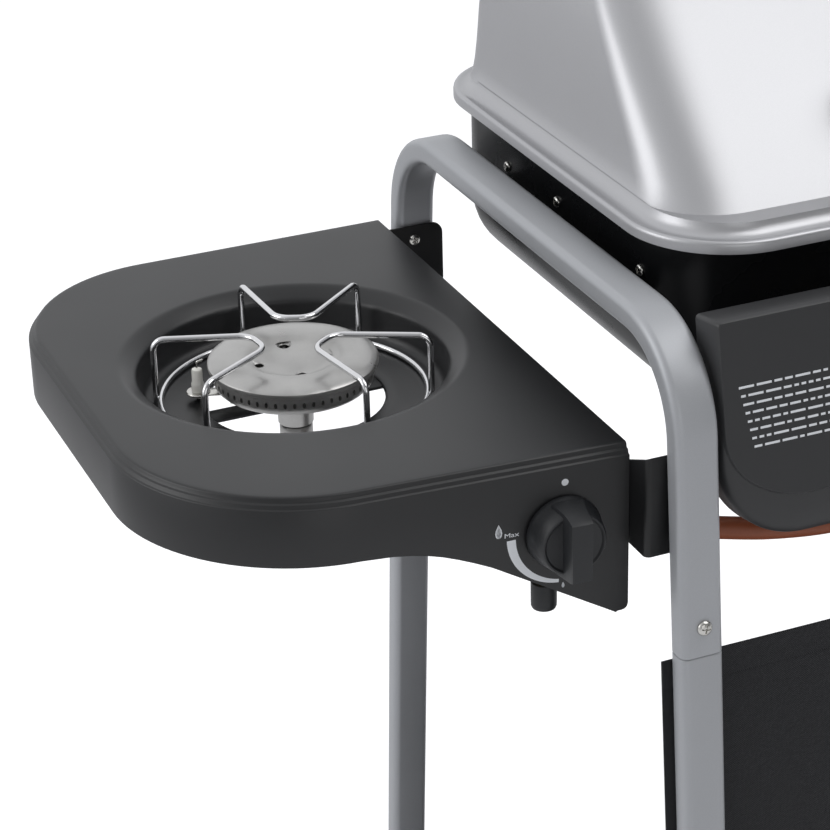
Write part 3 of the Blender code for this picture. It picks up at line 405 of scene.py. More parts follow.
GRAPHITE = finish_of("graphite_sprayed_steel", (0.0125, 0.0128, 0.0138), 0.37, clouds=0.14, speckle=0.2,
                     cloud_scale=9, grain=2200, depth=0.000008, spread=0.10, specular=0.5)
table = table_shell("table_left_pressed_top")
fold_inner_edge()
for distance, height in PLATE_EDGE[1:]:
    pick(lambda at, facing: at.y < -0.1 and at.z < TABLE_TOP - STEP_RISE, "FACE")
    bpy.ops.mesh.bisect(plane_co=FRONT_CORNER + ALONG * distance * MM, plane_no=ALONG)
lower_edge = bmesh.from_edit_mesh(table.data)
for point in lower_edge.verts:
    away = (point.co - FRONT_CORNER).dot(ALONG) / MM
    if abs(point.co.z - SKIRT_LOW) < 0.0001 and point.co.y < -0.1 and away < 171:
        nearest = min(PLATE_EDGE, key=lambda stop: abs(stop[0] - away))
        point.co.z = nearest[1] * MM
bmesh.update_edit_mesh(table.data)
bpy.ops.mesh.select_mode(type="FACE")
bpy.ops.mesh.select_all(action="DESELECT")
pressed = bmesh.from_edit_mesh(table.data)
max(pressed.faces, key=lambda face: face.calc_area()).select = True
bmesh.update_edit_mesh(table.data)
bpy.ops.mesh.delete(type="ONLY_FACE")
bpy.ops.mesh.select_mode(type="EDGE")
bpy.ops.mesh.select_all(action="DESELECT")
bpy.ops.mesh.primitive_circle_add(vertices=120, radius=WELL_LINE[0][0] * MM + 0.002,
                                  location=(WELL.x, WELL.y, TABLE_TOP))
rim = bmesh.from_edit_mesh(table.data)
for edge in rim.edges:
    edge.select = edge.is_boundary and min(v.co.z for v in edge.verts) > TABLE_TOP - 0.0001
    if not edge.link_faces:
        edge.select = True
bmesh.update_edit_mesh(table.data)
bpy.ops.mesh.fill(use_beauty=True)
pick(lambda at, facing: abs((at - WELL).xy.length - WELL_LINE[0][0] * MM - 0.002) < 0.0002
     and at.z > TABLE_TOP - 0.0001 and abs(facing.xy.normalized().dot((at - WELL).xy.normalized())) < 0.1, "EDGE")
reach, height = WELL_LINE[0][0] + 2, TABLE_TOP / MM
for radius, z in WELL_LINE:
    bpy.ops.mesh.extrude_region_move(TRANSFORM_OT_translate={"value": (0, 0, (z - height) * MM)})
    bpy.ops.transform.resize(value=(radius / reach, radius / reach, 1), center_override=(WELL.x, WELL.y, z * MM))
    reach, height = radius, z
bpy.ops.mesh.select_all(action="SELECT")
bpy.ops.mesh.normals_make_consistent(inside=False)
wall(table, 0.0012)
done(table, GRAPHITE, "cart", ["side_table_left"], 50)

# ==== Right side table ============================================================
# The other table is the same pressing turned over to the right, with no well or knob plate.
other = table_shell("table_right_pressed_top")
fold_inner_edge()
bpy.ops.mesh.select_all(action="SELECT")
bpy.ops.transform.resize(value=(-1, 1, 1), center_override=(0, 0, 0))
bpy.ops.mesh.normals_make_consistent(inside=False)
wall(other, 0.0012)
done(other, GRAPHITE, "cart", ["side_table_right"], 50)

# ==== Table brackets and their screws =============================================
# Bent black steel straps join each table to its two legs. Zinc-plated pan-head screws with
# a cross recess hold them.
BLACK = finish_of("black_sprayed_steel", (0.0075, 0.0078, 0.0085), 0.42, clouds=0.3, speckle=0.3,
                  cloud_scale=18, grain=1900, depth=0.000015, spread=0.12, specular=0.4)
ZINC = finish_of("zinc_plated_steel", (0.62, 0.61, 0.58), 0.24, metallic=1.0, clouds=0.3, speckle=0.2,
                 cloud_scale=160, grain=2500, depth=0.000004, spread=0.2)


def lathe(name, line, start=(0, 0, 0), direction=(0, 0, 1), steps=48):
    """Turn a line of (radius, height) points, in millimetres, about an axis set in the world."""
    piece = draw(name, [(radius * MM, 0, z * MM) for radius, z in line], closed=False)
    bpy.ops.mesh.select_all(action="SELECT")
    bpy.ops.mesh.spin(steps=steps, angle=math.tau, center=(0, 0, 0), axis=(0, 0, 1))
    tidy_mesh()
    bpy.ops.object.mode_set(mode="OBJECT")
    piece.matrix_world = Matrix.Translation(start) @ Vector(direction).to_track_quat("Z", "Y").to_matrix().to_4x4()
    return piece


def cut(piece, tool, operation="DIFFERENCE"):
    """Cut a piece with a tool, or join them, and use the tool up."""
    only(piece)
    step = piece.modifiers.new("cut", "BOOLEAN")
    step.operation, step.object, step.solver = operation, tool, "EXACT"
    bpy.ops.object.modifier_apply(modifier=step.name)
    bpy.data.objects.remove(tool, do_unlink=True)


def block(name, size, at=(0, 0, 0), width=0.0, segments=2):
    """A block of a size in millimetres with its edges rounded."""
    deselect()
    bpy.ops.mesh.primitive_cube_add(size=1, location=[v * MM for v in at], scale=[v * MM for v in size])
    piece = bpy.context.object
    piece.name = piece.data.name = name
    bpy.ops.object.transform_apply(location=False, rotation=False, scale=True)
    if width:
        ease(piece, width * MM, segments, 20)
    return piece


def copy_of(piece, name, matrix):
    """A copy with its own mesh, placed by a matrix."""
    made = piece.copy()
    made.data = piece.data.copy()
    made.name = made.data.name = name
    bpy.context.scene.collection.objects.link(made)
    made.matrix_world = matrix
    return made


def facing(at, direction, spin=0.0):
    """The matrix that stands a piece on a point, with its +Z along a direction."""
    stand = Vector(direction).to_track_quat("Z", "Y").to_matrix().to_4x4()
    return Matrix.Translation(at) @ stand @ Matrix.Rotation(math.radians(spin), 4, "Z")


pan_head = lathe("pan_head", [(0, 2.5), (1.6, 2.42), (2.8, 2.05), (3.6, 1.3), (3.9, 0.5), (3.9, 0), (0, 0)], steps=32)
for turned_by in (0, 90):
    slot = block("recess", (4.6, 0.95, 2.2), (0, 0, 2.6))
    slot.rotation_euler.z = math.radians(turned_by)
    bpy.context.view_layer.update()
    cut(pan_head, slot)
ease(pan_head, 0.00012, 2, 40)


def screws(name, places, body="cart", size=1.0):
    """Copies of the pan head at (point, direction, turn) places, joined into one piece."""
    heads = [copy_of(pan_head, name, facing(at, direction, spin) @ Matrix.Scale(size, 4))
             for at, direction, spin in places]
    deselect()
    for head in heads:
        head.select_set(True)
    bpy.context.view_layer.objects.active = heads[0]
    if len(heads) > 1:
        bpy.ops.object.join()
    return done(heads[0], ZINC, body, smooth=30)


for side, sign in (("left", -1), ("right", 1)):
    leg_face = leg_y(TABLE_TOP) - TUBE_DEEP / 2
    skirt_face = -FRONT_Y - 0.0074
    strap = draw("bracket_front_" + side, [(sign * 0.3535, -skirt_face, 0.712), (sign * 0.3257, -skirt_face, 0.712),
                                           (sign * 0.3257, -leg_face + 0.001, 0.712),
                                           (sign * 0.286, -leg_face + 0.001, 0.712)], closed=False)
    bpy.ops.mesh.select_all(action="SELECT")
    push((0, 0, 0.056))
    pick(lambda at, facing: abs(at.z - 0.768) < 0.0001 and abs(at.x) < 0.3258 and at.y < -leg_face + 0.0011)
    bpy.ops.transform.translate(value=(0, 0, 0.013))
    bpy.ops.object.mode_set(mode="OBJECT")
    ease(strap, 0.003, 4, 30)
    step = strap.modifiers.new("sheet", "SOLIDIFY")
    step.thickness, step.offset = 0.002, 0
    bpy.ops.object.modifier_apply(modifier=step.name)
    ease(strap, 0.0004, 2, 40)
    done(strap, BLACK, "cart", ["table_bracket_front_" + side], 40)
    tab = draw("bracket_rear_" + side, [(sign * 0.353, leg_face, 0.728), (sign * 0.280, leg_face, 0.728),
                                        (sign * 0.280, leg_face, 0.777), (sign * 0.3257, leg_face, 0.777),
                                        (sign * 0.3257, leg_face, 0.768), (sign * 0.353, leg_face, 0.768)])
    round_corners(lambda at: abs(at.x) < 0.281 and at.z > 0.77, 0.009, 8)
    round_corners(lambda at: abs(at.x) < 0.281 and at.z < 0.73, 0.004, 4)
    pick(lambda at, facing: True, "FACE")
    push((0, -0.002, 0))
    tidy_mesh()
    bpy.ops.object.mode_set(mode="OBJECT")
    ease(tab, 0.0004, 2, 40)
    done(tab, BLACK, "cart", ["table_bracket_rear_" + side], 40)
    screws("bracket_screws_" + side, [((sign * 0.303, leg_face - 0.0019, 0.766), (0, -1, 0), 25),
                                      ((sign * 0.303, leg_face - 0.0019, 0.742), (0, -1, 0), 60)], size=1.15)
LEG_SCREW_X, LEG_SCREW_Z = 0.2993, 0.670
leg_screw_y = leg_y(LEG_SCREW_Z) + TUBE_DEEP / 2
screws("leg_joint_screws", [((sign * LEG_SCREW_X, way * leg_screw_y, LEG_SCREW_Z), (0, way, 0.086), 20 + 30 * way)
                            for sign in (-1, 1) for way in (-1, 1)], size=1.35)

# ==== Side burner =================================================================
# A pressed aluminised-steel burner: a cup with a ring of flame ports under a dished cap
# with four dimpled holes. A black strap carries it across the hole in the well.
ALUMINISED = finish_of("aluminised_steel", (0.46, 0.455, 0.445), 0.34, metallic=0.85, clouds=0.35, speckle=0.25,
                       cloud_scale=55, grain=2600, depth=0.000012, spread=0.3)
CENTRE = WELL.copy()
cup = lathe("burner_cup", [(9, 750), (9, 733), (12, 733), (12.4, 750), (14, 752), (46, 760), (51, 762),
                           (53.4, 764.5), (54.2, 768), (54.2, 775.2), (53, 775.2), (53, 768), (51, 764.4),
                           (44, 762), (14, 754), (9, 750)], CENTRE, steps=108)
PORTS = 54
port = lathe("port", [(0, 3), (1.15, 3), (1.15, -3), (0, -3)], steps=12)
bpy.ops.object.transform_apply(location=True, rotation=True, scale=True)
drills = []
for i in range(PORTS):
    around = math.tau * (i + 0.5) / PORTS
    out = Vector((math.cos(around), math.sin(around), 0))
    drills.append(copy_of(port, "drill", facing(CENTRE + out * 0.0535 + Vector((0, 0, 0.7695)), out)
                          @ Matrix.Rotation(math.radians(90), 4, "Z") @ Matrix.Diagonal((1.75, 1, 1, 1))))
bpy.data.objects.remove(port, do_unlink=True)
deselect()
for drill in drills:
    drill.select_set(True)
bpy.context.view_layer.objects.active = drills[0]
bpy.ops.object.join()
only(cup)
bpy.ops.object.transform_apply(location=True, rotation=True, scale=True)
cut(cup, drills[0])
done(cup, ALUMINISED, "cart", ["side_burner_body"], 35)

cap = lathe("burner_cap", [(0, 777.6), (10, 777.6), (20, 777.7), (25, 778.2), (28, 779.4), (30.5, 781), (33, 782),
                           (36, 782.6), (44, 782.4), (52, 781.3), (56, 779.9), (57.3, 778.9), (57.5, 777.6),
                           (57.3, 776.2), (56.6, 775.6), (55.8, 776.1), (55.6, 777.2), (0, 776.4)],
            CENTRE, steps=96)
only(cap)
bpy.ops.object.transform_apply(location=True, rotation=True, scale=True)
for i in range(4):
    around = math.radians(90 * i - 6)
    at = CENTRE + Vector((math.cos(around) * 0.0235, math.sin(around) * 0.0235, 0))
    cut(cap, lathe("dimple", [(0, 779.4), (6.4, 778.9), (4.6, 777.9), (3.3, 777.2), (3.1, 774), (0, 774)], at,
                   steps=28))
ease(cap, 0.0004, 2, 28)
done(cap, ALUMINISED, "cart", ["side_burner_cap"], 35)

carrier = block("burner_strap", (164, 16, 2.2), (-468, 28, 747.8), 0.5)
bpy.ops.object.transform_apply(location=True, rotation=True, scale=True)
cut(carrier, lathe("eye", [(0, 749), (18, 749), (18, 746.6), (0, 746.6)], CENTRE, steps=40), "UNION")
cut(carrier, lathe("throat", [(0, 760), (12.5, 760), (12.5, 740), (0, 740)], CENTRE, steps=40))
done(carrier, BLACK, "cart", ["side_burner_strap"])

# ==== Spark electrode =============================================================
# A white ceramic post on a zinc bracket holds the spark wire beside the burner's cap.
CERAMIC = finish_of("white_ceramic", (0.80, 0.79, 0.74), 0.22, clouds=0.06, speckle=0.05, cloud_scale=60,
                    grain=900, depth=0.000006, coat=0.4, coat_roughness=0.12)
SPARK = WELL + Vector((-0.060, 0.024, 0))
post = lathe("spark_post", [(0, 774.4), (1.6, 774.2), (3.3, 773.4), (3.7, 772.4), (3.7, 764.2), (4.1, 763.6),
                            (4.4, 762.4), (4.4, 756.5), (3.6, 756), (3.6, 753), (0, 753)], SPARK, steps=32)
done(post, CERAMIC, "cart", ["electrode"], 35)
foot = lathe("spark_flange", [(3.8, 757.4), (7.6, 757.2), (8.2, 756.6), (8.2, 755.9), (7.6, 755.4), (3.8, 755.2),
                              (3.8, 757.4)], SPARK, steps=32)
done(foot, ZINC, "cart", smooth=30)
tongue = block("spark_bracket", (21, 11, 1.2), (-518.5, 50.5, 755.7), 0.4)
tongue.matrix_world = Matrix.Translation((SPARK.x + 0.011, SPARK.y - 0.0035, 0.7557)) @ Matrix.Rotation(-0.35, 4, "Z")
done(tongue, ZINC, "cart")
leg_down = block("spark_bracket_leg", (1.2, 11, 7.5), (0, 0, 0), 0.4)
leg_down.matrix_world = Matrix.Translation((SPARK.x + 0.0205, SPARK.y - 0.007, 0.7522)) @ Matrix.Rotation(-0.35, 4, "Z")
done(leg_down, ZINC, "cart")


def bent(name, route, radius, wire, steps=8):
    """A round wire or tube along points in millimetres, with its corners bent to one radius or a list."""
    points = [Vector(route[0])]
    radii = radius if isinstance(radius, tuple) else (radius,) * len(route)
    for a, b, c, radius in zip(route, route[1:], route[2:], radii):
        here = Vector(b)
        back, onward = (Vector(a) - here).normalized(), (Vector(c) - here).normalized()
        half = back.angle(onward) / 2
        tangent = min(radius / math.tan(half), (Vector(a) - here).length * 0.49, (Vector(c) - here).length * 0.49)
        true_radius = tangent * math.tan(half)
        centre = here + (back + onward).normalized() * (true_radius / math.sin(half))
        first = (here + back * tangent - centre).normalized()
        last = (here + onward * tangent - centre).normalized()
        points += [centre + first.slerp(last, i / steps) * true_radius for i in range(steps + 1)]
    points.append(Vector(route[-1]))
    line = pipe_line(name, points)
    line.data.dimensions = "3D"
    line.data.bevel_depth = wire * MM
    line.data.bevel_resolution = 4
    line.data.use_fill_caps = True
    return line


s = SPARK / MM
needle = bent("spark_needle", [(s.x, s.y, 773), (s.x, s.y, 778.5), (s.x + 4, s.y - 1.6, 780.2)], 1.5, 0.7)
done(needle, ZINC, "cart")
LEAD_BLACK = finish_of("spark_lead_sleeve", (0.012, 0.012, 0.013), 0.5, clouds=0.2, speckle=0.2, cloud_scale=80)
lead_turns = [WELL / MM + Vector((84 * math.cos(math.radians(a)), 84 * math.sin(math.radians(a)), 0))
              for a in (205, 240, 275, 305)]
spark_lead = bent("spark_lead", [(s.x, s.y, 752.5), (s.x, s.y, 743)] + [(p.x, p.y, 742) for p in lead_turns]
                  + [(-375, -128, 741)], 6, 1.3)
done(spark_lead, LEAD_BLACK, "cart")

# ==== Mixing tube and side valve ==================================================
# A bent aluminised tube carries gas and air from the brass valve to the burner's throat.
throat = (-468, 28, 732.6)
valve_back = FRONT_CORNER + ALONG * 0.045 + Vector((0, 0, 0.731)) - FACE * 0.0523
way_in = [tuple(valve_back / MM), tuple((valve_back - FACE * 0.022) / MM), (-468, 28, 698), throat]
done(bent("mixing_tube", way_in, 18, 7, 12), ALUMINISED, "cart", ["side_burner_tube"])
collar = lathe("mixing_collar", [(7.3, 731), (10.5, 731), (11.2, 730), (11.2, 724), (10, 722.5), (7.3, 722.5),
                                 (7.3, 731)], CENTRE, steps=36)
done(collar, ALUMINISED, "cart")
BRASS = finish_of("brass", (0.52, 0.37, 0.14), 0.3, metallic=1.0, clouds=0.25, speckle=0.15, cloud_scale=90,
                  grain=1800, depth=0.000006, spread=0.2)


def recoat(finish, *names):
    """Give CAD nodes a finish."""
    for name in names:
        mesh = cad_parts[name].data
        mesh.materials.clear()
        mesh.materials.append(finish)


recoat(BRASS, "side_valve", "side_valve_stem", "valve_left", "valve_right", "valve_stem_left", "valve_stem_right")
recoat(ZINC, "manifold", "lava_grate", "tray_holder", "axle", "hinge_pin_left", "hinge_pin_right")
PLASTIC = finish_of("black_moulded_plastic", (0.0135, 0.0145, 0.0165), 0.44, clouds=0.2, speckle=0.5,
                    cloud_scale=30, grain=1500, depth=0.00003, spread=0.12, specular=0.45)
INLET = FRONT_CORNER + ALONG * 0.045 - FACE * 0.032
bung = lathe("inlet_bung", [(0, -19), (6.6, -19), (7.8, -18.4), (8.4, -17), (8.5, -15), (8.5, -1), (8.2, 0), (7, 0.4),
                            (6.4, 0)], (INLET.x, INLET.y, 0.677), (0, 0, 1), 40)
done(bung, PLASTIC, "cart", ["inlet_cap"], 40)

# ==== Pan support =================================================================
# Chromed 4 mm wire: a ring that sits in the well and three bows welded to it, whose noses
# reach in over the burner.
CHROME = finish_of("chromed_wire", (0.74, 0.74, 0.75), 0.09, metallic=1.0, clouds=0.08, speckle=0.1,
                   cloud_scale=120, grain=2000, depth=0.000003, spread=0.08)
RING_Z, BOW_Z, POST_R, NOSE_R, SPREAD, WIRE = 753.3, 797, 92.5, 25, 26, 2.2
deselect()
bpy.ops.mesh.primitive_torus_add(location=(WELL.x, WELL.y, (RING_Z + 0.2) * MM), major_radius=0.090,
                                 minor_radius=WIRE * MM, major_segments=120, minor_segments=14)
wires = [bpy.context.object]
for middle in (186, 66, -54):
    route = []
    for sign in (-1, 1):
        turn = math.radians(middle + sign * SPREAD)
        post = WELL / MM + Vector((math.cos(turn), math.sin(turn), 0)) * POST_R
        aim = Vector((math.cos(math.radians(middle)), math.sin(math.radians(middle)), 0))
        tip = WELL / MM + aim * NOSE_R + Vector((-aim.y, aim.x, 0)) * sign * 11.5
        side = [post + Vector((0, 0, RING_Z - WIRE)), post + Vector((0, 0, BOW_Z)), tip + Vector((0, 0, BOW_Z))]
        route.append(side)
    bow = bent("bow", route[0] + route[1][::-1], (8, 14, 14, 8), WIRE, 12)
    only(bow)
    bpy.ops.object.convert(target="MESH")
    wires.append(bpy.context.object)
deselect()
for piece in wires:
    piece.select_set(True)
bpy.context.view_layer.objects.active = wires[0]
bpy.ops.object.join()
wires[0].name = wires[0].data.name = "pan_support_wires"
done(wires[0], CHROME, "pan_support_body", ["pan_support"], 60)

# ==== Control knobs ===============================================================
# A moulded black knob: a tapered dial with a thick grip across it. The side burner's knob
# turns on the table's front plate, and two more on the control panel.
def knob_piece(name, radius, at, direction, body, node_name):
    """One knob of a radius in millimetres, standing on a point with its grip upright."""
    across = Vector((0, 0, 1)).cross(Vector(direction)).normalized()
    upright = Vector(direction).cross(across)
    stand = Matrix((across, upright, Vector(direction))).transposed().to_4x4()
    dial = lathe(name, [(0, 17.6), (radius * 0.74, 17.6), (radius * 0.79, 18.6), (radius * 0.83, 18.4),
                        (radius * 0.87, 16.8), (radius * 0.93, 9.5), (radius * 0.985, 3.2), (radius, 2.0),
                        (radius, 0.2), (radius * 0.98, 0), (radius * 0.955, 0), (radius * 0.95, 4.5), (0, 4.5)],
                 steps=72)
    grip = draw("grip", [(-10.5 * MM, -radius * 0.96 * MM, 0.006), (10.5 * MM, -radius * 0.96 * MM, 0.006),
                         (10.0 * MM, radius * 0.94 * MM, 0.006), (-10.0 * MM, radius * 0.94 * MM, 0.006)])
    for rise, across_by, upright_by in ((6, 0.86, 0.99), (5, 0.88, 0.985), (5, 0.93, 0.975), (6, 0.96, 0.95),
                                        (3.5, 0.97, 0.93)):
        push((0, 0, rise * MM))
        bpy.ops.transform.resize(value=(across_by, upright_by, 1), center_override=(0, 0, 0))
    tidy_mesh()
    bpy.ops.object.mode_set(mode="OBJECT")
    cut(dial, grip, "UNION")
    ease(dial, 0.0012, 3, 32)
    dial.matrix_world = Matrix.Translation(at) @ stand
    return done(dial, PLASTIC, body, [node_name], 38)


SIDE_KNOB = FRONT_CORNER + ALONG * 0.045 + Vector((0, 0, 0.731))
knob_piece("side_knob_dial", 25, SIDE_KNOB + FACE * 0.0022, FACE, "side_knob_body", "side_knob")
screws("side_knob_screws", [(SIDE_KNOB + ALONG * 0.0202 - FACE * 0.0004, FACE, 30),
                            (SIDE_KNOB - ALONG * 0.0202 - FACE * 0.0004, FACE, 70)], size=0.95)

# ==== Printed marks on the front plate ============================================
# Plain white screen print: an off dot, a flame, a tapering band from full to low, and a
# small flame.
PRINT = finish_of("white_screen_print", (0.72, 0.74, 0.77), 0.5, clouds=0.05, speckle=0.12, grain=3000,
                  depth=0.000004)
ACROSS = -ALONG
plate_frame = Matrix((ACROSS, Vector((0, 0, 1)), FACE)).transposed().to_4x4()
plate_frame.translation = SIDE_KNOB + FACE * 0.00005


def printed(name, outline, matrix, body="cart"):
    """A closed outline in millimetres, filled and raised by the thickness of its ink."""
    mark = draw(name, [(x * MM, y * MM, 0) for x, y in outline])
    pick(lambda at, facing: True, "FACE")
    push((0, 0, 0.00008))
    tidy_mesh()
    bpy.ops.object.mode_set(mode="OBJECT")
    mark.matrix_world = matrix
    return done(mark, PRINT, body, smooth=0)


def arc(radius, start, end, count, cx=0.0, cy=0.0):
    """Points on an arc in millimetres, angles in degrees."""
    return [(cx + radius * math.cos(math.radians(start + (end - start) * i / count)),
             cy + radius * math.sin(math.radians(start + (end - start) * i / count))) for i in range(count + 1)]


printed("mark_off", arc(2.35, 0, 345, 23, 1.8, 33.2), plate_frame)
band = arc(37, 181, 266, 24)
inner_band = [(radius * math.cos(math.radians(a)), radius * math.sin(math.radians(a)))
              for radius, a in [(31.1 + 3.6 * (i / 24) ** 1.4, 266 - 85 * (1 - i / 24)) for i in range(25)]]
printed("mark_band", band + inner_band[::-1], plate_frame)


def flame(name, cx, cy, size):
    """A flame's outline with a small filled heart, in millimetres."""
    shape = [(0, 5.2), (-0.9, 3.4), (-1.9, 1.2), (-2.25, -1), (-1.9, -3), (-1.1, -4.2), (-0.4, -4.4)]
    outer = [(cx + x * size, cy + y * size) for x, y in shape]
    outer += [(cx - x * size, cy + y * size) for x, y in shape[:0:-1]]
    inner = [(cx + (x - cx) * 0.74, cy + (y - cy) * 0.80) for x, y in outer]
    printed(name, outer + [outer[0]] + [inner[0]] + inner[:0:-1], plate_frame)
    printed(name + "_heart", [(cx + x * size, cy + y * size) for x, y in
                              ((0, -0.2), (-1.2, -2.8), (-0.9, -4.2), (0.9, -4.2), (1.2, -2.8))], plate_frame)


flame("mark_flame", -42.3, 6.8, 1.0)
flame("mark_low_flame", 0.4, -39.5, 0.42)
deselect()
bpy.ops.object.text_add()
word = bpy.context.object
word.name = "mark_max"
word.data.body, word.data.size, word.data.extrude = "Max", 0.0052, 0.00004
word.matrix_world = plate_frame @ Matrix.Translation((-0.0388, 0.0018, 0.00004)) @ Matrix.Diagonal((1.12, 0.85, 1, 1))
done(word, PRINT, "cart", smooth=0)

# ==== Firebox =====================================================================
# A deep-drawn steel tub, enamelled black, with a rolled lip. Angle strips under the hoops
# and three screws a side hold it up between the frames.
ENAMEL = finish_of("black_enamel", (0.0058, 0.0061, 0.0068), 0.27, clouds=0.25, speckle=0.2, cloud_scale=14,
                   grain=700, depth=0.00002, spread=0.10, specular=0.18)
BOX_X, BOX_FRONT, BOX_REAR, BOX_TOP, BOX_LOW, LIP = 0.268, -0.140, 0.222, 0.878, 0.758, 0.007


def corners(half, front, rear, z):
    """The four corners of a level rectangle, counter-clockwise from the front left."""
    return [(-half, front, z), (half, front, z), (half, rear, z), (-half, rear, z)]


tub = draw("firebox_tub", corners(BOX_X + LIP, BOX_FRONT - LIP, BOX_REAR + LIP, BOX_TOP))
round_corners(lambda at: True, 0.062, 14)
pick(lambda at, facing: True, "FACE")
push((0, 0, -0.003))
bpy.ops.mesh.inset(thickness=LIP - 0.001, depth=0)
bpy.ops.mesh.inset(thickness=0.001, depth=0)
bpy.ops.transform.translate(value=(0, 0, -0.001))
push((0, 0, BOX_LOW - BOX_TOP + 0.004))
bpy.ops.mesh.region_to_loop()
bpy.ops.mesh.bevel(offset=0.048, segments=12, affect="EDGES", clamp_overlap=True)
pick(lambda at, facing: at.z > BOX_TOP - 0.0001 and abs(facing.z) > 0.9, "FACE")
bpy.ops.mesh.delete(type="FACE")
tidy_mesh()
wall(tub, 0.0016)
done(tub, ENAMEL, "cart", ["firebox"], 35)

for side, sign in (("left", -1), ("right", 1)):
    rail = draw("hoop_rail_" + side, [(sign * 0.2845, -0.100, 0.857), (sign * 0.2845, -0.100, 0.8385),
                                      (sign * 0.2684, -0.100, 0.8385)], closed=False)
    bpy.ops.mesh.select_all(action="SELECT")
    push((0, 0.230, 0))
    bpy.ops.object.mode_set(mode="OBJECT")
    ease(rail, 0.002, 3, 30)
    step = rail.modifiers.new("sheet", "SOLIDIFY")
    step.thickness, step.offset = 0.0016, 0
    bpy.ops.object.modifier_apply(modifier=step.name)
    done(rail, BLACK, "cart", ["firebox_rail_" + side], 40)
    screws("firebox_screws_" + side, [((sign * BOX_X, y, z), (sign, 0, 0), spin)
                                      for y, z, spin in ((0.116, 0.850, 15), (0.036, 0.852, 50), (-0.087, 0.849, 80))],
           size=1.0)

# ==== Hood ========================================================================
# One deep pressing of satin silver steel. A rolled flange with a shallow channel runs round
# its foot, and its front slopes back to a narrow top.
HOOD_SILVER = finish_of("satin_silver_hood", (0.455, 0.456, 0.47), 0.36, metallic=0.75, clouds=0.05, speckle=0.22,
                        cloud_scale=6, grain=2600, depth=0.00001, spread=0.08)
HOOD_X, HOOD_FRONT, HOOD_REAR, HOOD_FOOT = 0.281, -0.161, 0.236, 0.880
# (inwards, upwards) moves over the flange, in millimetres, from its lower outer edge
FLANGE_MOVES = ((0.25, 1.3), (0.6, 0.9), (0.9, 0.5), (1.1, 0.1), (1.2, -0.4), (1.6, -0.5), (2.0, -0.1),
                (2.2, 0.4), (2.0, 1.0), (1.7, 1.6), (1.4, 2.2), (1.0, 2.6))
SIDE_WIDTHS = ((893, 265.2), (897, 263.2), (905, 261), (920, 258.4), (940, 255.6), (960, 252.4), (975, 249.6),
               (990, 246.6), (1005, 242.6), (1018, 238), (1028, 232.6), (1036, 226.6), (1042, 220), (1047, 211),
               (1050.4, 201), (1052, 190))


def hood_front(z):
    """Y of the hood's sloping front at a height in millimetres."""
    rise = max(z - 880, 0) / 172
    return (-138 + 205 * rise ** 1.08) * MM


hood = draw("hood_pressing", corners(HOOD_X, HOOD_FRONT, HOOD_REAR, HOOD_FOOT))
round_corners(lambda at: True, 0.070, 18)
pick(lambda at, facing: True, "FACE")
push((0, 0, 0.0052))
for inwards, up in FLANGE_MOVES:
    bpy.ops.mesh.inset(thickness=inwards * MM, depth=0)
    bpy.ops.transform.translate(value=(0, 0, up * MM))


def selected_box():
    """The lowest and highest corner of the selected points."""
    points = [v.co.copy() for v in bmesh.from_edit_mesh(bpy.context.object.data).verts if v.select]
    return [Vector([furthest(p[i] for p in points) for i in range(3)]) for furthest in (min, max)]


for z, half in SIDE_WIDTHS:
    push((0, 0, 0))
    low, high = selected_box()
    front, back = hood_front(z), 0.2265 - max(z - 1000, 0) * 0.45 * MM
    if z > 1040:
        front, back = front + (z - 1040) * 0.0009, back - (z - 1040) * 0.0016
    bpy.ops.transform.resize(value=(2 * half * MM / (high.x - low.x), (back - front) / (high.y - low.y), 1),
                             center_override=((low.x + high.x) / 2, (low.y + high.y) / 2, low.z))
    bpy.ops.transform.translate(value=(0, (front + back) / 2 - (low.y + high.y) / 2, z * MM - low.z))
for share in (0.965, 0.88, 0.70):
    push((0, 0, 0))
    low, high = selected_box()
    bpy.ops.transform.resize(value=(share, share, 1), center_override=(0, (low.y + high.y) / 2, high.z))
pick(lambda at, facing: at.z < HOOD_FOOT + 0.0001 and abs(facing.z) > 0.9, "FACE")
bpy.ops.mesh.delete(type="FACE")
tidy_mesh()
wall(hood, 0.0014)
done(hood, HOOD_SILVER, "hood_assembly", ["hood"], 45)

# ==== Hood handle and hinges ======================================================
# A bow of black moulded tube on two flared feet lifts the hood, which turns on two black
# steel hinges at the back.
slope = Vector((0, hood_front(950) - hood_front(930), 0.020)).normalized()
outward = Vector((0, -slope.z, slope.y))
foot_at = Vector((0, hood_front(942), 0.942)) + outward * 0.0003
HANDLE_HALF, HANDLE_RISE = 98, 44
route = [foot_at / MM + Vector((sign * HANDLE_HALF, 0, 0)) + outward * rise
         for sign, rise in ((-1, 0), (-1, HANDLE_RISE), (1, HANDLE_RISE), (1, 0))]
done(bent("handle_bow", route, 24, 9, 14), PLASTIC, "hood_assembly", ["hood_handle"], 50)
for side, sign in (("left", -1), ("right", 1)):
    ferrule = lathe("handle_foot_" + side, [(9.2, 9), (12.2, 8.4), (13, 6), (13.6, 2), (15, 0), (9.2, 0), (9.2, 9)],
                    foot_at + Vector((sign * HANDLE_HALF * MM, 0, 0)), outward, 40)
    done(ferrule, PLASTIC, "hood_assembly", smooth=35)
recoat(BLACK, "hinge_bracket_left", "hinge_bracket_right", "hinge_leaf_left", "hinge_leaf_right")

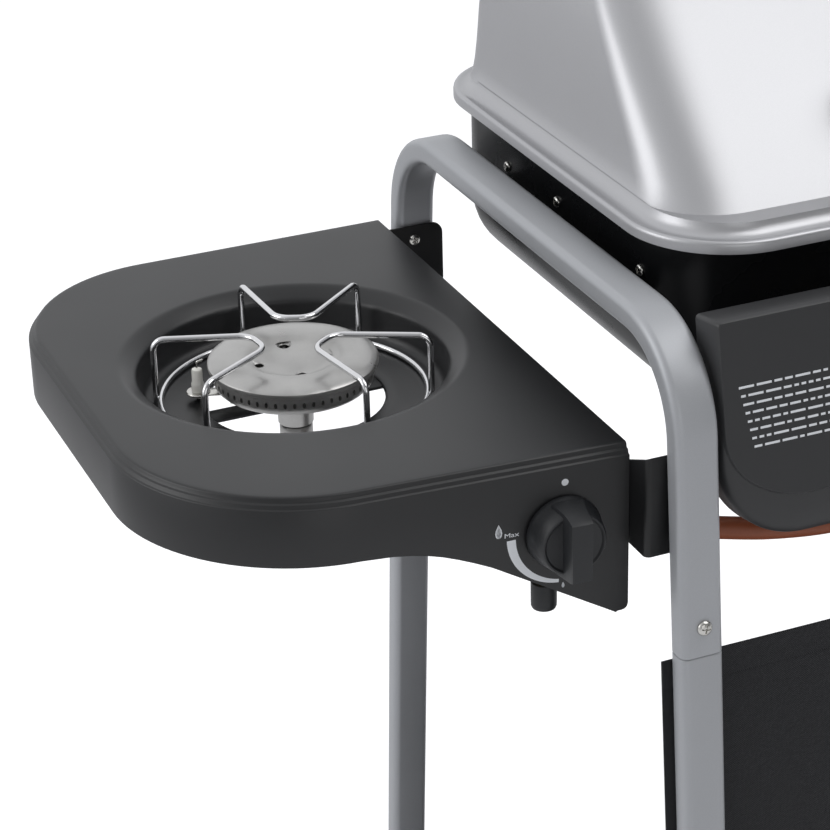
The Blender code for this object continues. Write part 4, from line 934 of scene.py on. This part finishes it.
# ==== Control panel ===============================================================
# A pressed panel in the same dark grey leans back over the manifold. Its flat face ends in
# a crisp step, and a rolled border curves away below it to round lower corners.
PANEL_GREY = finish_of("panel_grey_sprayed_steel", (0.026, 0.0265, 0.028), 0.40, clouds=0.12, speckle=0.2,
                       cloud_scale=8, grain=2200, depth=0.000008, spread=0.10, specular=0.45)
PANEL_POINT, PANEL_LEAN = Vector((0, -0.224, 0.805)), math.radians(10)
NORMAL = Vector((0, -math.cos(PANEL_LEAN), math.sin(PANEL_LEAN)))
UP = Vector((0, math.sin(PANEL_LEAN), math.cos(PANEL_LEAN)))
panel_frame = Matrix((Vector((1, 0, 0)), UP, NORMAL)).transposed().to_4x4()
panel_frame.translation = PANEL_POINT
PANEL_HALF, PANEL_HIGH, PANEL_LOW, PANEL_BACK = 0.283, 0.062, -0.088, -0.026
# (distance out, lower edge, half width, upper edge) of the border's rings, in millimetres
BORDER = ((-13, -88, 283, 62), (-11.6, -87.4, 282.9, 62), (-9.4, -85.6, 282.7, 61.9), (-6.8, -81.8, 282.5, 61.8),
          (-4.8, -76, 282.2, 61.6), (-3.2, -68, 281.9, 61.4), (-2.4, -61.2, 281.7, 61.2), (-2.0, -59.6, 281.6, 61.1),
          (-0.6, -59.0, 281.3, 60.9), (0, -58.2, 280.9, 60.4))
panel = draw("panel_pressing", corners(PANEL_HALF, PANEL_LOW, PANEL_HIGH, PANEL_BACK))
round_corners(lambda at: at.y < 0, 0.060, 20)
round_corners(lambda at: at.y > 0, 0.003, 4)
pick(lambda at, facing: True, "FACE")
for out, lower, half, upper in BORDER:
    push((0, 0, 0))
    low, high = selected_box()
    bpy.ops.transform.resize(value=(2 * half * MM / (high.x - low.x), (upper - lower) * MM / (high.y - low.y), 1),
                             center_override=(0, (low.y + high.y) / 2, low.z))
    bpy.ops.transform.translate(value=(0, (upper + lower) / 2 * MM - (low.y + high.y) / 2, out * MM - low.z))
pick(lambda at, facing: at.z < PANEL_BACK + 0.0001 and abs(facing.z) > 0.9, "FACE")
bpy.ops.mesh.delete(type="FACE")
tidy_mesh()
wall(panel, 0.0014)
for x, radius in ((-0.130, 6), (0.130, 6), (0, 10.4)):
    only(panel)
    cut(panel, lathe("hole", [(0, 6), (radius, 6), (radius, -6), (0, -6)], (x, 0, 0), (0, 0, 1), 32))
panel.matrix_world = panel_frame
done(panel, PANEL_GREY, "cart", ["control_panel"], 30)
screws("panel_screws", [(panel_frame @ Vector((sign * 0.2829, up, -0.0185)), (sign, 0, 0), 40)
                        for sign in (-1, 1) for up in (0.004, -0.040)], size=0.9)

# Rows of plain dashes stand where such a panel carries its printed notes.
random.seed(11)
dashes = []
for row in range(8):
    x, end = -270 + 1.2 * row, -184 + random.uniform(-14, 8)
    while x < end:
        length = random.choice((3.2, 5.5, 7.5, 10.5))
        dashes.append(block("dash", (length, 1.5, 0.1), (x + length / 2, 18 - 5.6 * row, 0.05)))
        x += length + 1.9
deselect()
for dash in dashes:
    dash.select_set(True)
bpy.context.view_layer.objects.active = dashes[0]
bpy.ops.object.join()
dashes[0].name = dashes[0].data.name = "panel_dash_rows"
only(dashes[0])
bpy.ops.object.transform_apply(location=True, rotation=True, scale=True)
dashes[0].matrix_world = panel_frame
done(dashes[0], PRINT, "cart", smooth=0)

for side, x in (("left", -0.130), ("right", 0.130)):
    knob_piece("panel_knob_" + side, 24, panel_frame @ Vector((x, 0, 0.0022)), NORMAL, side + "_knob", "knob_" + side)
button = lathe("igniter_push", [(0, -9), (9.9, -9), (9.9, 6.8), (9.5, 8.2), (8.4, 9), (7, 8.7), (0, 8.2)],
               panel_frame @ Vector((0, 0, 0)), NORMAL, 48)
done(button, PLASTIC, "igniter", ["igniter_button"], 35)
bezel = lathe("igniter_bezel", [(10.6, 0), (15.5, 0), (15, 1.6), (13.5, 2.2), (10.6, 2.2), (10.6, 0)],
              panel_frame @ Vector((0, 0, 0.0001)), NORMAL, 48)
done(bezel, ZINC, "cart", smooth=35)

# ==== Drip tray, grates and burner tubes ==========================================
# Plain steel pieces under and inside the firebox keep the shapes of their CAD nodes.
recoat(ALUMINISED, "drip_tray", "burner_tube_left", "burner_tube_right")
recoat(CHROME, "cooking_grate")

# ==== Apron =======================================================================
# Black woven polyester is stretched behind the front legs from just under the tube joints.
# Its top and bottom edges are folded over into hems.
APRON_TOP, APRON_LOW, APRON_HALF, CLOTH = 0.641, 0.150, 0.320, 0.0010
WEAVE, given, gives = effect("plain_weave", [("Colour", "Color", (0.02, 0.02, 0.02, 1)), ("Threads", "Float", 900)],
                             [("Colour", "Color"), ("Roughness", "Float"), ("Normal", "Vector")])
place = node(WEAVE, "TexCoord").outputs["Object"]
split = node(WEAVE, "SeparateXYZ")
WEAVE.links.new(place, split.inputs[0])
across = math_node(WEAVE, "SINE", math_node(WEAVE, "MULTIPLY", split.outputs["X"], given["Threads"]), 0.0)
along = math_node(WEAVE, "SINE", math_node(WEAVE, "MULTIPLY", split.outputs["Z"], given["Threads"]), 0.0)
crossing = math_node(WEAVE, "MULTIPLY", across, along)
fuzz = node(WEAVE, "TexNoise", in2=420.0, in3=3.0)
WEAVE.links.new(place, fuzz.inputs["Vector"])
lift = math_node(WEAVE, "ADD", math_node(WEAVE, "MULTIPLY", crossing, 0.5), fuzz.outputs["Fac"])
shade = node(WEAVE, "VectorMath", operation="SCALE")
WEAVE.links.new(given["Colour"], shade.inputs[0])
WEAVE.links.new(math_node(WEAVE, "ADD", math_node(WEAVE, "MULTIPLY", lift, 0.7), 0.6), shade.inputs["Scale"])
WEAVE.links.new(shade.outputs[0], gives["Colour"])
WEAVE.links.new(math_node(WEAVE, "ADD", math_node(WEAVE, "MULTIPLY", lift, -0.1), 0.86), gives["Roughness"])
bump = node(WEAVE, "Bump", in1=0.0004)
WEAVE.links.new(lift, bump.inputs["Height"])
WEAVE.links.new(bump.outputs[0], gives["Normal"])
FABRIC = bpy.data.materials.new("black_woven_polyester")
FABRIC.use_nodes = True
shader = FABRIC.node_tree.nodes["Principled BSDF"]
shader.inputs["Sheen Weight"].default_value = 0.15
shader.inputs["Specular IOR Level"].default_value = 0.25
woven = FABRIC.node_tree.nodes.new("ShaderNodeGroup")
woven.node_tree = WEAVE
woven.inputs["Colour"].default_value = (0.0125, 0.013, 0.0155, 1)
woven.inputs["Threads"].default_value = 4200
for socket, target in zip(woven.outputs, ("Base Color", "Roughness", "Normal")):
    FABRIC.node_tree.links.new(socket, shader.inputs[target])


def cloth_y(x, z):
    """Y of the cloth behind the front legs, with its slight waves away from its held edges."""
    free = min(1, (APRON_HALF - abs(x)) / 0.05)
    return -(leg_y(z) - TUBE_DEEP / 2 - 0.0016), 0.0005 * math.sin(x * 23) * math.sin(z * 17 + 1) * free


def thicken(piece, thickness):
    """Give a flat piece its thickness, half on each side."""
    bpy.ops.object.mode_set(mode="OBJECT")
    step = piece.modifiers.new("cloth", "SOLIDIFY")
    step.thickness, step.offset = thickness, 0
    bpy.ops.object.modifier_apply(modifier=step.name)


def hem(name, low, high):
    """A folded strip of the cloth along the apron's edge, between two heights."""
    piece = draw(name, [(-APRON_HALF, 0, low), (APRON_HALF, 0, low), (APRON_HALF, 0, high), (-APRON_HALF, 0, high)])
    pick(lambda at, facing: abs(facing.z) < 0.001, "EDGE")
    bpy.ops.mesh.subdivide(number_cuts=80)
    for point in bmesh.from_edit_mesh(piece.data).verts:
        flat, wave = cloth_y(point.co.x, point.co.z)
        point.co.y = flat - HEM_RISE + wave
    bmesh.update_edit_mesh(piece.data)
    thicken(piece, HEM_THICK)
    return done(piece, FABRIC, "cart", smooth=50)


deselect()
bpy.ops.mesh.primitive_grid_add(x_subdivisions=80, y_subdivisions=60, size=1)
apron = bpy.context.object
apron.name = apron.data.name = "apron_cloth"
bpy.ops.object.mode_set(mode="EDIT")
for point in bmesh.from_edit_mesh(apron.data).verts:
    x, z = point.co.x * 2 * APRON_HALF, (APRON_LOW + APRON_TOP) / 2 + point.co.y * (APRON_TOP - APRON_LOW)
    flat, wave = cloth_y(x, z)
    point.co = (x, flat + wave, z)
bmesh.update_edit_mesh(apron.data)
thicken(apron, CLOTH)
done(apron, FABRIC, "cart", ["front_apron"], 50)
HEM, HEM_RISE, HEM_THICK = 0.020, 0.0008, 0.0006
hems = [hem("hem_top", APRON_TOP - HEM, APRON_TOP - 0.0002), hem("hem_bottom", APRON_LOW + 0.0002, APRON_LOW + HEM)]

# ==== Bottom shelf, crossbars and feet ============================================
# A shallow pressed tray rests on two flat tubes between the legs. The left legs stand in
# moulded caps.
shelf_low, shelf_high = [Vector(corner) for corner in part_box("bottom_shelf")]
shelf = draw("shelf_tray", corners(shelf_high.x, shelf_low.y, shelf_high.y, shelf_high.z))
round_corners(lambda at: True, 0.012, 6)
pick(lambda at, facing: True, "FACE")
push((0, 0, -0.0145))
bpy.ops.mesh.inset(thickness=0.0005, depth=0)
bpy.ops.transform.translate(value=(0, 0, -0.001))
bpy.ops.mesh.inset(thickness=0.0012, depth=0)
bpy.ops.transform.translate(value=(0, 0, -0.0005))
for share, up in ((0.92, 0), (0.99, 1.6), (0.985, 0.3), (0.80, 0)):
    push((0, 0, up * MM))
    bpy.ops.transform.resize(value=(share, share, 1), center_override=(0, 0, shelf_low.z))
pick(lambda at, facing: at.z > shelf_high.z - 0.0001 and abs(facing.z) > 0.9, "FACE")
bpy.ops.mesh.delete(type="FACE")
tidy_mesh()
wall(shelf, 0.0012)
done(shelf, GRAPHITE, "cart", ["bottom_shelf"], 40)
recoat(SILVER, "crossbar_lower_front", "crossbar_lower_rear")
recoat(PLASTIC, "foot_cap_front_left", "foot_cap_rear_left", "hub_cap_front", "hub_cap_rear")

# ==== Wheels ======================================================================
# Moulded plastic wheels turn on a steel axle through the right legs. Each has a hub, a web
# with six windows, and a grooved tread.
WHEEL_PLASTIC = finish_of("wheel_plastic_black", (0.019, 0.019, 0.021), 0.58, clouds=0.25, speckle=0.4,
                          cloud_scale=25, grain=900, depth=0.00004, spread=0.12)
WHEEL_X, WHEEL_Z, WINDOW_RING = 0.3, 0.075, 0.039
# (radius, distance from the hub's inner face) round a wheel's section, in millimetres
WHEEL_LINE = ((5.3, 0), (15, 0), (16, 1), (18, 13.5), (58, 13.5), (60, 12), (60.5, 3), (62, 2), (71, 2), (73.5, 4),
              (75, 8), (75, 13), (73.6, 14), (73.6, 20), (75, 21), (75, 26), (73.5, 30), (71, 32), (62, 32),
              (60.5, 31), (60, 22), (58, 20.5), (18, 20.5), (16, 33), (15, 34), (5.3, 34), (5.3, 0))
for end, way in (("front", -1), ("rear", 1)):
    hub = way * min(abs(corner[1]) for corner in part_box("wheel_" + end))
    wheel = lathe("wheel_disc_" + end, WHEEL_LINE, (WHEEL_X, hub, WHEEL_Z), (0, way, 0), 96)
    only(wheel)
    bpy.ops.object.transform_apply(location=True, rotation=True, scale=True)
    for i in range(6):
        around = math.radians(60 * i)
        at = (WHEEL_X + WINDOW_RING * math.cos(around), hub, WHEEL_Z + WINDOW_RING * math.sin(around))
        cut(wheel, lathe("window", [(0, 40), (12, 40), (12, -4), (0, -4)], at, (0, way, 0), 32))
    ease(wheel, 0.0006, 2, 40)
    done(wheel, WHEEL_PLASTIC, "wheel_%s_body" % end, ["wheel_" + end], 35)

# ==== Light and floor =============================================================
# A white sweep in a surround that is brightest behind the object, with three soft boxes.
deselect()
bpy.ops.mesh.primitive_plane_add(size=30)
floor = bpy.context.object
floor.name = "floor_sweep"
FLOOR = bpy.data.materials.new("floor_white")
FLOOR.use_nodes = True
tree = FLOOR.node_tree
shader = tree.nodes["Principled BSDF"]
shader.inputs["Base Color"].default_value = (0.86, 0.86, 0.87, 1)
shader.inputs["Roughness"].default_value = 0.9
shader.inputs["Specular IOR Level"].default_value = 0.1
shader.inputs["Emission Color"].default_value = (1, 1, 1, 1)
tree.links.new(math_node(tree, "MULTIPLY", node(tree, "LightPath").outputs["Is Camera Ray"], 0.45),
               shader.inputs["Emission Strength"])
floor.data.materials.append(FLOOR)

bpy.context.scene.view_settings.view_transform = "Standard"
world = bpy.data.worlds.new("studio")
bpy.context.scene.world = world
world.use_nodes = True
sky = world.node_tree
background = sky.nodes["Background"]
background.inputs["Color"].default_value = (0.97, 0.98, 1.0, 1)
way_seen = node(sky, "SeparateXYZ")
sky.links.new(node(sky, "TexCoord").outputs["Generated"], way_seen.inputs[0])
glow = node(sky, "MapRange", in1=-0.75, in2=0.45, in3=0.22, in4=0.95)
sky.links.new(math_node(sky, "SUBTRACT", way_seen.outputs["Y"],
                        math_node(sky, "MULTIPLY", way_seen.outputs["X"], 0.45)), glow.inputs[0])
sky.links.new(glow.outputs[0], background.inputs["Strength"])
for name, place_at, size, power in (("overhead", (0.9, -0.7, 2.7), 1.8, 22), ("left", (-2.6, 0.4, 1.9), 1.6, 16),
                                    ("front", (-0.6, -3.2, 1.5), 2.0, 10)):
    bpy.ops.object.light_add(type="AREA", location=place_at)
    lamp = bpy.context.object
    lamp.name = "soft_box_" + name
    lamp.data.shape, lamp.data.size, lamp.data.energy = "SQUARE", size, power
    lamp.rotation_euler = (Vector((-0.1, 0, 0.75)) - Vector(place_at)).to_track_quat("-Z", "Y").to_euler()

bpy.data.objects.remove(pan_head, do_unlink=True)
